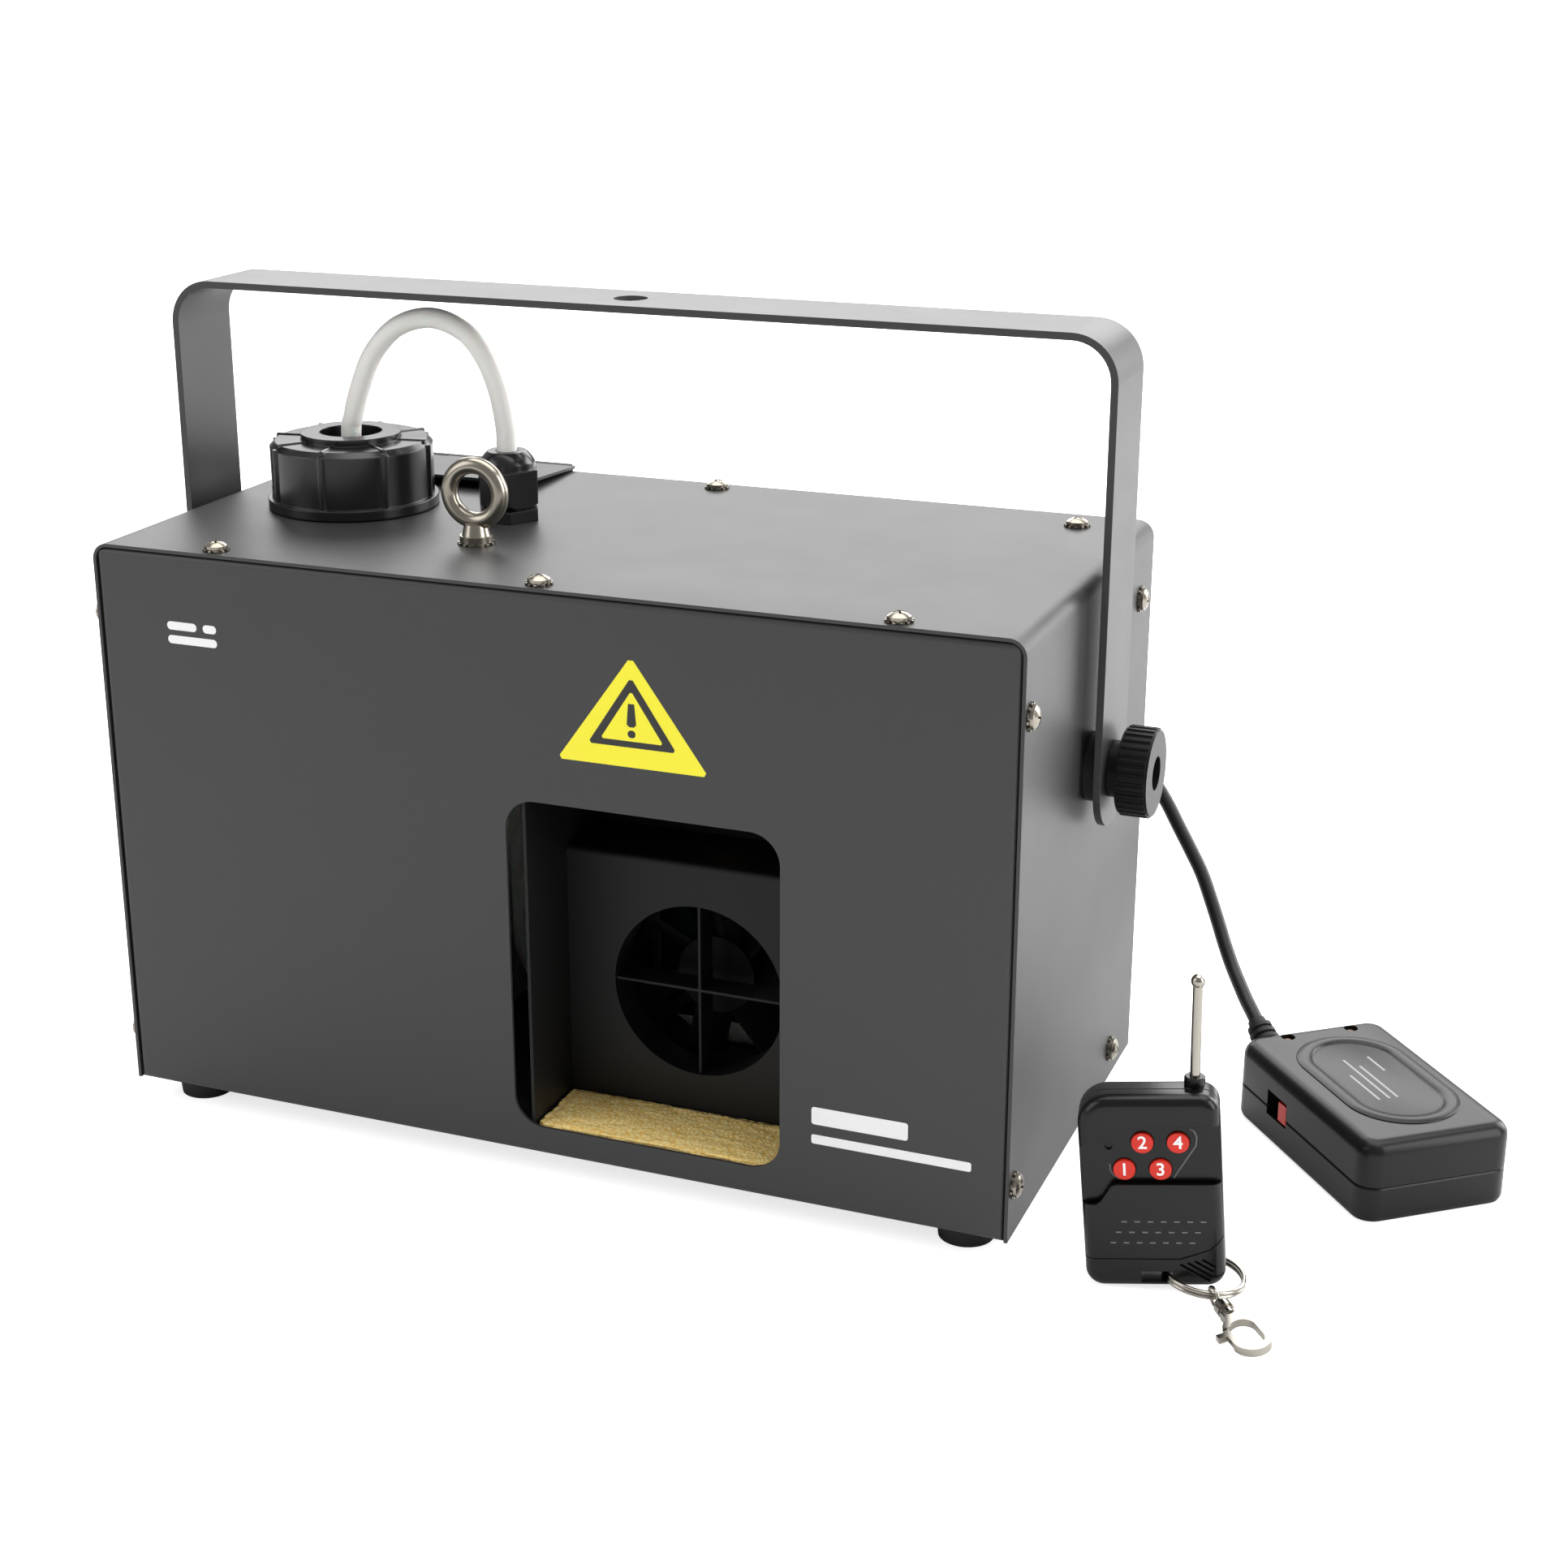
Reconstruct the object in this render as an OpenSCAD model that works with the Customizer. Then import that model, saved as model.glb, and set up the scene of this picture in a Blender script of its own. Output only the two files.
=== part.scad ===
// Sheet-metal fog machine with a tilting bracket, a fluid tank under a screw cap,
// a wired radio receiver and its hand remote.
// Origin: centre of the housing on the surface that the feet stand on. +Z is up and -Y is the outlet side.

/* [Housing] */
// Width of the housing across the cover's two sides
body_w = 340; // [338:1:346]
// Depth of the housing from front to rear
body_d = 166; // [164:1:172]
// Height of the sheet-metal housing without its feet
body_h = 207; // [205:1:215]
// Thickness of the housing's sheet steel
sheet_t = 1.2; // [1:0.1:1.5]
// Outside bend radius of the cover
cover_r = 6; // [4:0.5:8]
// Height of the rubber feet
foot_h = 9; // [8:0.5:12]

/* [Outlet] */
// Width of the opening in the front panel
outlet_w = 100; // [90:1:102]
// Height of the opening in the front panel
outlet_h = 122; // [110:1:124]
// Corner radius of the opening
outlet_r = 11; // [6:1:16]
// Radius of the round hole in the duct plate
duct_r = 32; // [28:1:34]

/* [Bracket] */
// Width of the flat bar that the bracket is bent from
strap_w = 34; // [28:1:36]
// Thickness of the flat bar
strap_t = 2.5; // [2:0.5:3]
// Height of the bracket's top face above the surface
strap_top = 298; // [296:1:310]
// Radius of the hanging hole in the middle of the bracket
hang_hole_r = 6; // [5:0.5:6.5]

/* [Tank cap] */
// Radius of the cap's body
cap_r = 30; // [29:0.5:31]
// Number of grip ribs on the cap
cap_ribs = 8; // [6:1:12]

/* [Tubes and cable] */
// Outside diameter of the silicone fluid tube
tube_d = 7.5; // [6:0.5:7.5]
// Diameter of the receiver's cable
cable_d = 5.5; // [4:0.5:6]

/* [Remote] */
// Width of the hand remote
fob_w = 45; // [44:1:46]
// Height of the hand remote's body
fob_h = 68; // [67:1:70]
// Sideways lean of the hand remote, in degrees
fob_lean = 5.3; // [4:0.1:6]
// Radius of a push button
button_r = 3.5; // [3:0.1:3.6]

/* [Hidden] */
$fn = 48;

eps = 0.01;
front_y = -body_d/2;
rear_y = body_d/2;
top_z = foot_h + body_h;
floor_z = foot_h + 2*sheet_t;      // top of the base plate
side_gap = 0.3;                    // between the panels' flanges and the cover
panel_w = body_w - 2*sheet_t - 2*side_gap;
panel_h = body_h - sheet_t - side_gap;
panel_r = 2;                       // outside bend radius of the two panels
flange_d = 14;
foot_flange_d = 28;
base_inset = sheet_t + 1;           // keeps the base plate off the panels' inner bends

// Screws
screw_r = 2;
screw_head_r = 4;
screw_head_h = 2.4;
washer_h = 1;
top_screws = [[-122.5, front_y + 6], [2, front_y + 6], [126.8, front_y + 6],
    [2.5, rear_y - 8], [146, rear_y - 18]];
side_screws = [[front_y + 5.5, 190], [front_y + 5.5, 28], [rear_y - 18, 191.5], [rear_y - 32, 21]];

// Feet
foot_r = 9.6;
foot_x = body_w/2 - 19;
foot_y = body_d/2 - 17;

// Outlet chamber
outlet_x = 39.5;
outlet_z = 80.5;
chamber_x = 46.5;
chamber_w = 100;
duct_y = -51;                      // front face of the duct plate
duct_z = 66;
duct_top = 114;
hood_top = 144.2;
hood_back = -20;

// Fan
fan_size = 80;
fan_y = -37.5;
fan_depth = 25;

// Heater and pump
heater = [[-15, -16, 110], [108, 44, 150]];
nozzle_z = 128;
pump_y = 10;
pump_z = 40;
pump_x = 112;
pump_l = 43;
plunger_r = 6;

// Tank
tank_x = -114;
tank_y = 3;
tank_w = 94;
tank_d = 110;
tank_top = 188;
tank_t = 2;
neck_r = 23;
neck_top = top_z + 20;
cap_hole_r = 11.5;
cap_top = top_z + 25;

// Gland and eyebolt
gland_x = -49.6;
gland_y = 3;
gland_z = top_z;
eye_x = -42.8;
eye_y = -35.5;
eye_z = top_z + 18;
eye_ring_r = 9.8;
eye_wire_r = 3;

// Hatch over the tank bay
hatch_x0 = -160;
hatch_x1 = -62;
hatch_y = rear_y + 2.3;
hatch_z = top_z + 0.3;
hatch_tilt = 3.5;
hatch_l = 45;
hinge_r = 2;
hinge_pin_r = 1.1;

// Bracket pivot
pivot_y = 4;
pivot_z = 148;
spacer_t = 5;
arm_x = body_w/2 + spacer_t;       // inner face of a bracket arm
strap_bend_r = 16;
stud_r = 4;
run_gap = 0.05;                    // radial clearance of a running fit
knob_x = arm_x + strap_t;
knob_stem_l = 4;
knob_head_l = 11;
knob_r = 15.6;

// Rear fittings
inlet_x = 118;
inlet_z = 44;
switch_x = 80;
switch_z = 44;
socket_x = 126;
socket_z = 112;

// Receiver: its own frame has +X towards the cable end
receiver_at = [267.8, 42.4, 0];
receiver_turn = 129;
receiver_size = [93, 58, 31];
receiver_split = 13.2;
relief_at = [46.5, 13.5, 19];
relief_l = 17;
relief_rise = 30;

// Remote: its own frame has -Y out of the button face
fob_at = [218.3, -73.6, 0];
fob_lift = 1.7;                    // keeps the leaning remote's lowest edge on the surface
fob_turn = 11.5;
fob_face = -7;
fob_well = -4.2;
fob_wall = 1.5;
fob_slot_z = [2.0, 6.2];
ring_at = [15, 0, 4.6];
ring_tilt = 6;
ring_r = 13;
ring_wire = 0.75;
clasp_roll = 13;
fob_buttons = [[-8.3, 41.9], [-2.2, 51.4], [3.2, 41.9], [9.1, 51.4]];
antenna_at = [15, 3.4, 71];        // where the antenna leaves its socket
antenna_lean = 4;
antenna_r = 1.6;

// Route of the silicone tube, from the tank's floor over the top and down to the pump
tube_route = [[-114, 3, 22], [-114, 3, 60], [-114, 3, 120], [-114, 3, 180], [-114, 3, 238],
    [-112.5, 3, 249], [-109, 3, 260], [-103, 3, 272.5], [-92.5, 3, 283], [-78.5, 3, 287],
    [-65.5, 3, 283], [-57.5, 3, 274.5], [-52.5, 3, 263], [-50, 3, 251], [-49.6, 3, 241],
    [-49.6, 3, 200], [-49.6, 3, 130], [-49.6, 3, 60], [-48, 4, 44], [-42, 7, 31], [-31, 11, 23],
    [-14, 14, 20], [20, 14, 20], [56, 14, 21], [74, 13, 26], [88, 11.5, 35], [96, 10.5, 39],
    [104, 10, 40]];

// Route of the pump's outlet pipe up to the heater
feed_route = [[140, 10, 60], [140, 10, 80], [140, 10, 104], [138, 10, 116], [132, 10, 125],
    [122, 10, 130], [108, 10, 130]];

// Route of the receiver's cable, from its plug on the rear panel down to the receiver
cable_route = [[126, 113, 112], [126, 121, 112], [127.5, 129, 112], [132.5, 135, 111.3],
    [140, 138.3, 109.5], [148.5, 138.8, 106.5], [156.5, 137.5, 102.8], [163.5, 135, 98.2],
    [169.5, 132.3, 91.5], [175, 129.5, 83.8], [181, 125.8, 76], [187, 121.3, 68.3],
    [192, 116.3, 60.3], [196.4, 111.3, 53], [200.6, 105.8, 46.3], [204.9, 100.3, 40.3],
    [209.2, 94.4, 35.8], [213.2, 89, 31.9], [216.2, 85, 29.6], [218.8, 81.5, 27.5]];

// ---------- Shared shapes ----------

// Centred rectangle with true round corners
module rounded_rect(w, h, r) {
    square([w - 2*r, h], center = true);
    square([w, h - 2*r], center = true);
    for (sx = [-1, 1], sz = [-1, 1])
        translate([sx*(w/2 - r), sz*(h/2 - r)])
            circle(r);
}

// Outline standing on the X axis, with round top corners
module arch(w, h, r) {
    translate([-w/2, 0])
        square([w, h - r]);
    translate([-w/2 + r, 0])
        square([w - 2*r, h]);
    for (sx = [-1, 1])
        translate([sx*(w/2 - r), h - r])
            circle(r);
}

// Rectangle from (0, 0) to (d, h) with its two corners on the Y axis rounded
module bent_edge(d, h, r) {
    translate([r, 0])
        square([d - r, h]);
    translate([0, r])
        square([d, h - 2*r]);
    for (z = [r, h - r])
        translate([r, z])
            circle(r);
}

// Extrudes an outline drawn in X and Z along +Y, from y to y + d
module along_y(y, d) {
    translate([0, y + d, 0])
        rotate([90, 0, 0])
            linear_extrude(d)
                children();
}

// Extrudes an outline drawn in Y and Z along +X, from x to x + w
module along_x(x, w) {
    translate([x, 0, 0])
        rotate([90, 0, 90])
            linear_extrude(w)
                children();
}

// Cylinder along X from x to x + l
module rod_x(x, y, z, r, l) {
    translate([x, y, z])
        rotate([0, 90, 0])
            cylinder(r = r, h = l);
}

// Cylinder along Y from y to y + l
module rod_y(x, y, z, r, l) {
    translate([x, y, z])
        rotate([-90, 0, 0])
            cylinder(r = r, h = l);
}

// Tray open at the back: face at y = 0, bottom at z = 0, four flanges bent backwards
module tray_solid(w, h, d, r) {
    intersection() {
        along_x(-w/2, w)
            bent_edge(d, h, r);
        translate([-w/2, 0, -eps])
            rotate([0, 0, 90])
                mirror([0, 1, 0])
                    linear_extrude(h + 2*eps)
                        bent_edge(d, w, r);
    }
}

module tray(w, h, d, r, t) {
    difference() {
        tray_solid(w, h, d, r);
        translate([0, t, t])
            tray_solid(w - 2*t, h - 2*t, d, r - t);
    }
}

function unit(v) = v/norm(v);
function route_dir(p, i) =
    i == 0 ? unit(p[1] - p[0]) :
    i == len(p) - 1 ? unit(p[i] - p[i - 1]) :
    unit(unit(p[i] - p[i - 1]) + unit(p[i + 1] - p[i]));
// Side direction of a ring, carried along the route so that the tube doesn't twist
function route_side(p, i) =
    i == 0 ? unit(cross(route_dir(p, 0), [0.31, 0.95, 0.05])) :
    let (s = route_side(p, i - 1), d = route_dir(p, i)) unit(s - (s*d)*d);
function ring_points(p, i, r, n) =
    let (d = route_dir(p, i), s = route_side(p, i), u = cross(d, s))
    [for (k = [0:n - 1]) p[i] + r*(cos(360*k/n)*s + sin(360*k/n)*u)];

// Tube swept along a route, with one ring of n points at each route point
module swept_tube(p, d, n) {
    m = len(p);
    points = [for (i = [0:m - 1]) each ring_points(p, i, d/2, n)];
    sides = [for (i = [0:m - 2], k = [0:n - 1])
        [i*n + k, (i + 1)*n + k, (i + 1)*n + (k + 1) % n, i*n + (k + 1) % n]];
    ends = [[for (k = [0:n - 1]) k], [for (k = [n - 1:-1:0]) (m - 1)*n + k]];
    polyhedron(points, concat(sides, ends), convexity = 6);
}

// ---------- Housing ----------

module foot_holes(z, h) {
    for (sx = [-1, 1], sy = [-1, 1])
        translate([sx*foot_x, sy*foot_y, z])
            cylinder(r = screw_r + 0.2, h = h);
}

module top_screw_holes(r) {
    for (p = top_screws)
        translate([p[0], p[1], top_z - 12])
            cylinder(r = r, h = 14);
}

module side_screw_holes(r) {
    for (s = [-1, 1], p = side_screws)
        rod_x(s*(body_w/2 - 5) - 7, p[0], p[1], r, 14);
}

module base_plate() {
    color("#3a3a3c")
        difference() {
            translate([-panel_w/2 + base_inset, front_y + base_inset, foot_h + sheet_t])
                cube([panel_w - 2*base_inset, body_d - 2*base_inset, sheet_t]);
            foot_holes(foot_h, 4);
        }
}

// Front panel without holes; its bottom flange is deeper so that the feet's screws reach it
module panel_tray() {
    intersection() {
        translate([0, front_y, foot_h])
            tray(panel_w, panel_h, flange_d, panel_r, sheet_t);
        translate([0, 0, foot_h])
            along_y(front_y - 1, flange_d + 2)
                arch(panel_w, panel_h, cover_r - sheet_t);
    }
    translate([-panel_w/2 + 3, front_y + flange_d - 1, foot_h])
        cube([panel_w - 6, foot_flange_d - flange_d + 1, sheet_t]);
}

module front_panel() {
    color("#2b2b2e")
        difference() {
            panel_tray();
            top_screw_holes(screw_r + 0.2);
            side_screw_holes(screw_r + 0.2);
            foot_holes(foot_h - 1, 4);
            translate([outlet_x, 0, outlet_z])
                along_y(front_y - 1, 4)
                    rounded_rect(outlet_w, outlet_h, outlet_r);
        }
}

module vent_slots() {
    for (col = [0:2], row = [0:6])
        translate([-20 + 34*col, 0, 125 + 9*row])
            along_y(rear_y - 3, 4)
                rounded_rect(26, 3.4, 1.6);
}

module rear_panel() {
    color("#2b2b2e")
        difference() {
            rotate([0, 0, 180])
                panel_tray();
            top_screw_holes(screw_r + 0.2);
            side_screw_holes(screw_r + 0.2);
            foot_holes(foot_h - 1, 4);
            vent_slots();
            translate([inlet_x - 14.2, rear_y - 3, inlet_z - 10.2])
                cube([28.4, 4, 20.4]);
            translate([switch_x - 10.2, rear_y - 3, switch_z - 8.7])
                cube([20.4, 4, 17.4]);
            rod_y(socket_x, rear_y - 3, socket_z, 10.2, 4);
        }
}

module cover() {
    color("#39393b")
        difference() {
            translate([0, 0, foot_h])
                along_y(front_y, body_d)
                    arch(body_w, body_h, cover_r);
            translate([0, 0, foot_h - 1])
                along_y(front_y - 1, body_d + 2)
                    arch(body_w - 2*sheet_t, body_h - sheet_t + 1, cover_r - sheet_t);
            translate([tank_x, tank_y, top_z - 5])
                cylinder(r = neck_r + 3, h = 10);
            translate([gland_x, gland_y, top_z - 5])
                cylinder(r = 8.2, h = 10);
            translate([eye_x, eye_y, top_z - 5])
                cylinder(r = 3.2, h = 10);
            translate([hatch_x0 + 12, 44, top_z - 5])
                cube([74, 24, 10]);
            top_screw_holes(screw_r + 0.2);
            side_screw_holes(screw_r + 0.2);
            for (s = [-1, 1])
                rod_x(s*(body_w/2 - 2) - 4, pivot_y, pivot_z, stud_r + 0.1, 8);
        }
}

// Pan-head screw pointing down, its washer's underside at z = 0
module pan_screw(l) {
    difference() {
        union() {
            translate([0, 0, -l])
                cylinder(r = screw_r, h = l + washer_h + 0.2);
            intersection() {
                translate([0, 0, washer_h])
                    cylinder(r = screw_head_r, h = screw_head_h);
                translate([0, 0, washer_h + screw_head_h - 6.4])
                    sphere(r = 6.4);
            }
        }
        for (a = [0, 90])
            rotate([0, 0, a])
                translate([-2.1, -0.35, washer_h + 1])
                    cube([4.2, 0.7, screw_head_h]);
    }
}

module at_cover_screws() {
    for (p = top_screws)
        translate([p[0], p[1], top_z])
            rotate([0, 0, 35*p[0]])
                children();
    for (s = [-1, 1], p = side_screws)
        translate([s*body_w/2, p[0], p[1]])
            rotate([0, s*90, 0])
                rotate([0, 0, 50 + 20*p[1]])
                    children();
}

module screws() {
    color("#b9b6ae") {
        at_cover_screws()
            pan_screw(7);
        for (sx = [-1, 1], sy = [-1, 1])
            translate([sx*foot_x, sy*foot_y, foot_h - 3.5 + washer_h])
                rotate([180, 0, 0])
                    pan_screw(9);
    }
}

// External-tooth lock washer
module star_washer(hole, r, teeth) {
    difference() {
        union() {
            cylinder(r = r - 1, h = washer_h);
            for (k = [0:teeth - 1])
                rotate([0, 0, 360*k/teeth])
                    translate([r - 1.3, -0.42*r*3.1416/teeth, 0.15])
                        cube([1.3, 0.84*r*3.1416/teeth, washer_h - 0.3]);
        }
        translate([0, 0, -1])
            cylinder(r = hole, h = washer_h + 2);
    }
}

module star_washers() {
    color("#c4c1b8") {
        at_cover_screws()
            star_washer(screw_r + 0.2, 4.7, 12);
        translate([eye_x, eye_y, top_z])
            star_washer(3.2, 6.6, 14);
    }
}

module feet() {
    color("#1c1c1d")
        for (sx = [-1, 1], sy = [-1, 1])
            translate([sx*foot_x, sy*foot_y, 0])
                difference() {
                    cylinder(r1 = foot_r, r2 = foot_r + 0.9, h = foot_h);
                    translate([0, 0, -1])
                        cylinder(r = 5, h = foot_h - 2.5);
                    cylinder(r = screw_r + 0.2, h = foot_h + 1);
                }
}

// ---------- Outlet chamber ----------

module chamber_hood() {
    x0 = chamber_x - chamber_w/2 - sheet_t;
    y0 = front_y + sheet_t + 0.2;
    color("#1d1d1e")
        difference() {
            translate([x0, y0, floor_z])
                cube([chamber_w + 2*sheet_t, hood_back - y0, hood_top - floor_z]);
            translate([x0 + sheet_t, y0 - 1, floor_z - 1])
                cube([chamber_w, duct_y + 14 - y0, hood_top - floor_z + 1 - sheet_t]);
            translate([x0 + sheet_t, y0 - 1, duct_top])
                cube([chamber_w, hood_back - sheet_t - y0 + 1, hood_top - duct_top - sheet_t]);
            translate([x0 - 1, duct_y + 12, floor_z - 1])
                cube([chamber_w + 4, 40, duct_top - floor_z + 1]);
            rod_y(chamber_x, hood_back - 3, nozzle_z, 6.5, 4);
        }
}

module duct_plate() {
    color("#2a2a2c")
        difference() {
            along_x(chamber_x - chamber_w/2, chamber_w)
                difference() {
                    translate([duct_y, floor_z])
                        bent_edge(hood_back - sheet_t - duct_y, duct_top - floor_z, 2);
                    translate([duct_y + sheet_t, floor_z - 3])
                        bent_edge(40, duct_top - floor_z + 3 - sheet_t, 2 - sheet_t);
                }
            rod_y(chamber_x, duct_y - 1, duct_z, duct_r, 4);
        }
}

module duct_ring() {
    y0 = duct_y + sheet_t;
    depth = fan_y - y0;
    color("#303032") {
        difference() {
            rod_y(chamber_x, y0, duct_z, duct_r + 1.4, depth);
            rod_y(chamber_x, y0 - 1, duct_z, duct_r, depth + 2);
        }
        for (a = [0, 90])
            translate([chamber_x, y0, duct_z])
                rotate([0, a, 0])
                    translate([-0.5, 0, -duct_r - 0.7])
                        cube([1, depth - 1.5, 2*duct_r + 1.4]);
    }
}

module drip_sponge() {
    y0 = front_y + sheet_t + 0.6;
    color("#cda958")
        translate([chamber_x - chamber_w/2 + 0.6, y0, floor_z])
            cube([chamber_w - 1.2, duct_y - 0.4 - y0, 8.8]);
}

// ---------- Fan ----------

module fan_frame() {
    hub_r = 15;
    color("#18181a") {
        difference() {
            translate([chamber_x, 0, duct_z])
                along_y(fan_y, fan_depth)
                    rounded_rect(fan_size, fan_size, 4);
            rod_y(chamber_x, fan_y - 1, duct_z, fan_size/2 - 2, fan_depth + 2);
            for (sx = [-1, 1], sz = [-1, 1])
                rod_y(chamber_x + sx*35.75, fan_y - 1, duct_z + sz*35.75, 2.1, fan_depth + 2);
        }
        rod_y(chamber_x, fan_y + fan_depth - 4, duct_z, hub_r, 4);
        for (x = [chamber_x - 36, chamber_x + 28])
            translate([x, fan_y + 3, floor_z])
                cube([8, 18, duct_z - fan_size/2 - floor_z + 1]);
        for (a = [45:90:315])
            translate([chamber_x, fan_y + fan_depth - 4, duct_z])
                rotate([0, a, 0])
                    translate([hub_r - 1, 0, -2])
                        cube([fan_size/2 - hub_r, 3, 4]);
        rod_y(chamber_x, fan_y + 8, duct_z, 1.5, fan_depth - 9);
    }
}

module fan_rotor() {
    blades = 7;
    color("#1f1f22")
        difference() {
            union() {
                rod_y(chamber_x, fan_y + 3, duct_z, 14.5, 17);
                for (k = [0:blades - 1])
                    translate([chamber_x, fan_y + 11, duct_z])
                        rotate([0, 360*k/blades, 0])
                            translate([13, 0, 0])
                                rotate([38, 0, 0])
                                    translate([0, -8, -0.8])
                                        cube([23, 16, 1.6]);
            }
            rod_y(chamber_x, fan_y + 7, duct_z, 1.5 + run_gap, 20);
        }
}

// ---------- Heater, pump and electronics ----------

module heater_block() {
    size = heater[1] - heater[0];
    color("#a9abad")
        difference() {
            translate(heater[0])
                cube(size);
            rod_y(chamber_x, heater[0][1] - 1, nozzle_z, 4, 31);
            rod_x(heater[1][0] - 30, pump_y, 130, 1.2, 31);
            for (x = [5, 90])
                translate([x, 14, heater[1][2] - 15])
                    cylinder(r = 1.6, h = 16);
        }
}

module nozzle() {
    y1 = heater[0][1];
    color("#b8924a")
        difference() {
            union() {
                rod_y(chamber_x, y1, nozzle_z, 3.9, 20);
                translate([chamber_x, 0, nozzle_z])
                    along_y(y1 - 3, 3)
                        circle(r = 6, $fn = 6);
                rod_y(chamber_x, y1 - 10, nozzle_z, 4, 8);
            }
            rod_y(chamber_x, y1 - 11, nozzle_z, 0.8, 32);
        }
}

module thermostat() {
    color("#d8d4c8")
        translate([48, 14, heater[1][2]]) {
            cylinder(r = 8, h = 6);
            translate([-12, -3.5, 0])
                cube([24, 7, 1.2]);
            for (sx = [-1, 1])
                translate([sx*4 - 0.4, -3, 5])
                    cube([0.8, 6, 9]);
        }
}

module standoffs() {
    color("#b59a5c") {
        for (x = [heater[0][0] + 7, heater[1][0] - 7], y = [heater[0][1] + 7, heater[1][1] - 7])
            translate([x, y, floor_z])
                cylinder(r = 3, h = heater[0][2] - floor_z);
        for (x = [-40, 50], z = [35, 95])
            rod_y(x, 63.6, z, 2.5, rear_y - sheet_t - 63.6);
    }
}

module pump_body() {
    color("#3c4654")
        difference() {
            union() {
                rod_x(pump_x, pump_y, pump_z, 16, pump_l);
                rod_x(pump_x - 8, pump_y, pump_z, 3, 9);
                translate([140, pump_y, pump_z + 10])
                    cylinder(r = 3, h = 10);
                translate([pump_x + 8, pump_y - 14, floor_z])
                    cube([28, 28, 20]);
            }
            rod_x(pump_x + 9, pump_y, pump_z, plunger_r + run_gap, pump_l - 16);
            rod_x(pump_x - 9, pump_y, pump_z, 1.5, 20);
            translate([140, pump_y, pump_z])
                cylinder(r = 1.5, h = 21);
        }
}

module pump_plunger() {
    color("#9a9ca0")
        difference() {
            rod_x(pump_x + 12, pump_y, pump_z, plunger_r, 12);
            rod_x(pump_x + 11, pump_y, pump_z, 1.2, 14);
        }
}

module feed_pipe() {
    color("#b87945")
        swept_tube(feed_route, 4, 8);
}

module control_board() {
    color("#1f5a3a")
        translate([-45, 62, 30]) {
            cube([100, 1.6, 70]);
            translate([8, -16, 10])
                cube([24, 16, 20]);
            translate([42, -14, 12])
                cube([28, 14, 34]);
            translate([10, -12, 42])
                cube([18, 12, 16]);
            for (x = [80, 90], z = [20, 34])
                rod_y(x, -12, z, 4, 12);
            translate([78, -9, 50])
                cube([16, 9, 10]);
        }
}

// ---------- Tank, cap and tube ----------

module tank() {
    z0 = floor_z;
    color("#e4e3dc")
        difference() {
            union() {
                translate([tank_x, tank_y, z0])
                    linear_extrude(tank_top - z0)
                        rounded_rect(tank_w, tank_d, 10);
                translate([tank_x, tank_y, tank_top - 1])
                    cylinder(r = neck_r, h = neck_top - tank_top + 1);
                for (z = [neck_top - 14, neck_top - 7])
                    translate([tank_x, tank_y, z])
                        cylinder(r = neck_r + 1.2, h = 2);
            }
            translate([tank_x, tank_y, z0 + tank_t])
                linear_extrude(tank_top - z0 - 2*tank_t)
                    rounded_rect(tank_w - 2*tank_t, tank_d - 2*tank_t, 8);
            translate([tank_x, tank_y, tank_top - 5])
                cylinder(r = neck_r - 3, h = 80);
        }
}

module cap_gasket() {
    color("#8f2f26")
        translate([tank_x, tank_y, neck_top])
            difference() {
                cylinder(r = neck_r + 1, h = 1.5);
                translate([0, 0, -1])
                    cylinder(r = 6, h = 5);
            }
}

module tank_cap() {
    z0 = top_z + 0.5;
    rib_r = 1.5;
    color("#141416")
        translate([tank_x, tank_y, 0])
            difference() {
                union() {
                    translate([0, 0, z0])
                        cylinder(r = cap_r + 1.5, h = 3.5);
                    translate([0, 0, z0])
                        cylinder(r = cap_r, h = cap_top - 2 - z0);
                    translate([0, 0, cap_top - 2])
                        cylinder(r1 = cap_r, r2 = cap_r - 2, h = 2);
                    translate([0, 0, cap_top - 1])
                        cylinder(r = 18.5, h = 3.5);
                    for (k = [0:cap_ribs - 1])
                        rotate([0, 0, 360*k/cap_ribs - 81.6]) {
                            translate([cap_r - 0.4, 0, z0 + 3])
                                cylinder(r = rib_r, h = cap_top - z0 - 4.4);
                            translate([17, 0, cap_top - 0.6])
                                rotate([0, 90, 0])
                                    cylinder(r = rib_r - 0.3, h = cap_r - 17.8);
                        }
                }
                translate([0, 0, z0 - 1])
                    cylinder(r = neck_r + 2, h = neck_top + 1.5 - z0 + 1);
                cylinder(r = cap_hole_r, h = 400);
            }
}

module silicone_tube() {
    color("#e9e8e2")
        swept_tube(tube_route, tube_d, 12);
}

// ---------- Gland and eyebolt ----------

module gland_body() {
    color("#19191b")
        translate([gland_x, gland_y, gland_z])
            difference() {
                union() {
                    cylinder(r = 11.8, h = 4.5, $fn = 6);
                    translate([0, 0, -11])
                        cylinder(r = 7.9, h = 12);
                    cylinder(r = 8, h = 15);
                }
                translate([0, 0, -12])
                    cylinder(r = tube_d/2 + 0.25, h = 40);
            }
}

module gland_locknut() {
    color("#19191b")
        translate([gland_x, gland_y, top_z - sheet_t - 5])
            difference() {
                cylinder(r = 11.5, h = 5, $fn = 6);
                translate([0, 0, -1])
                    cylinder(r = 8, h = 7);
            }
}

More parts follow.
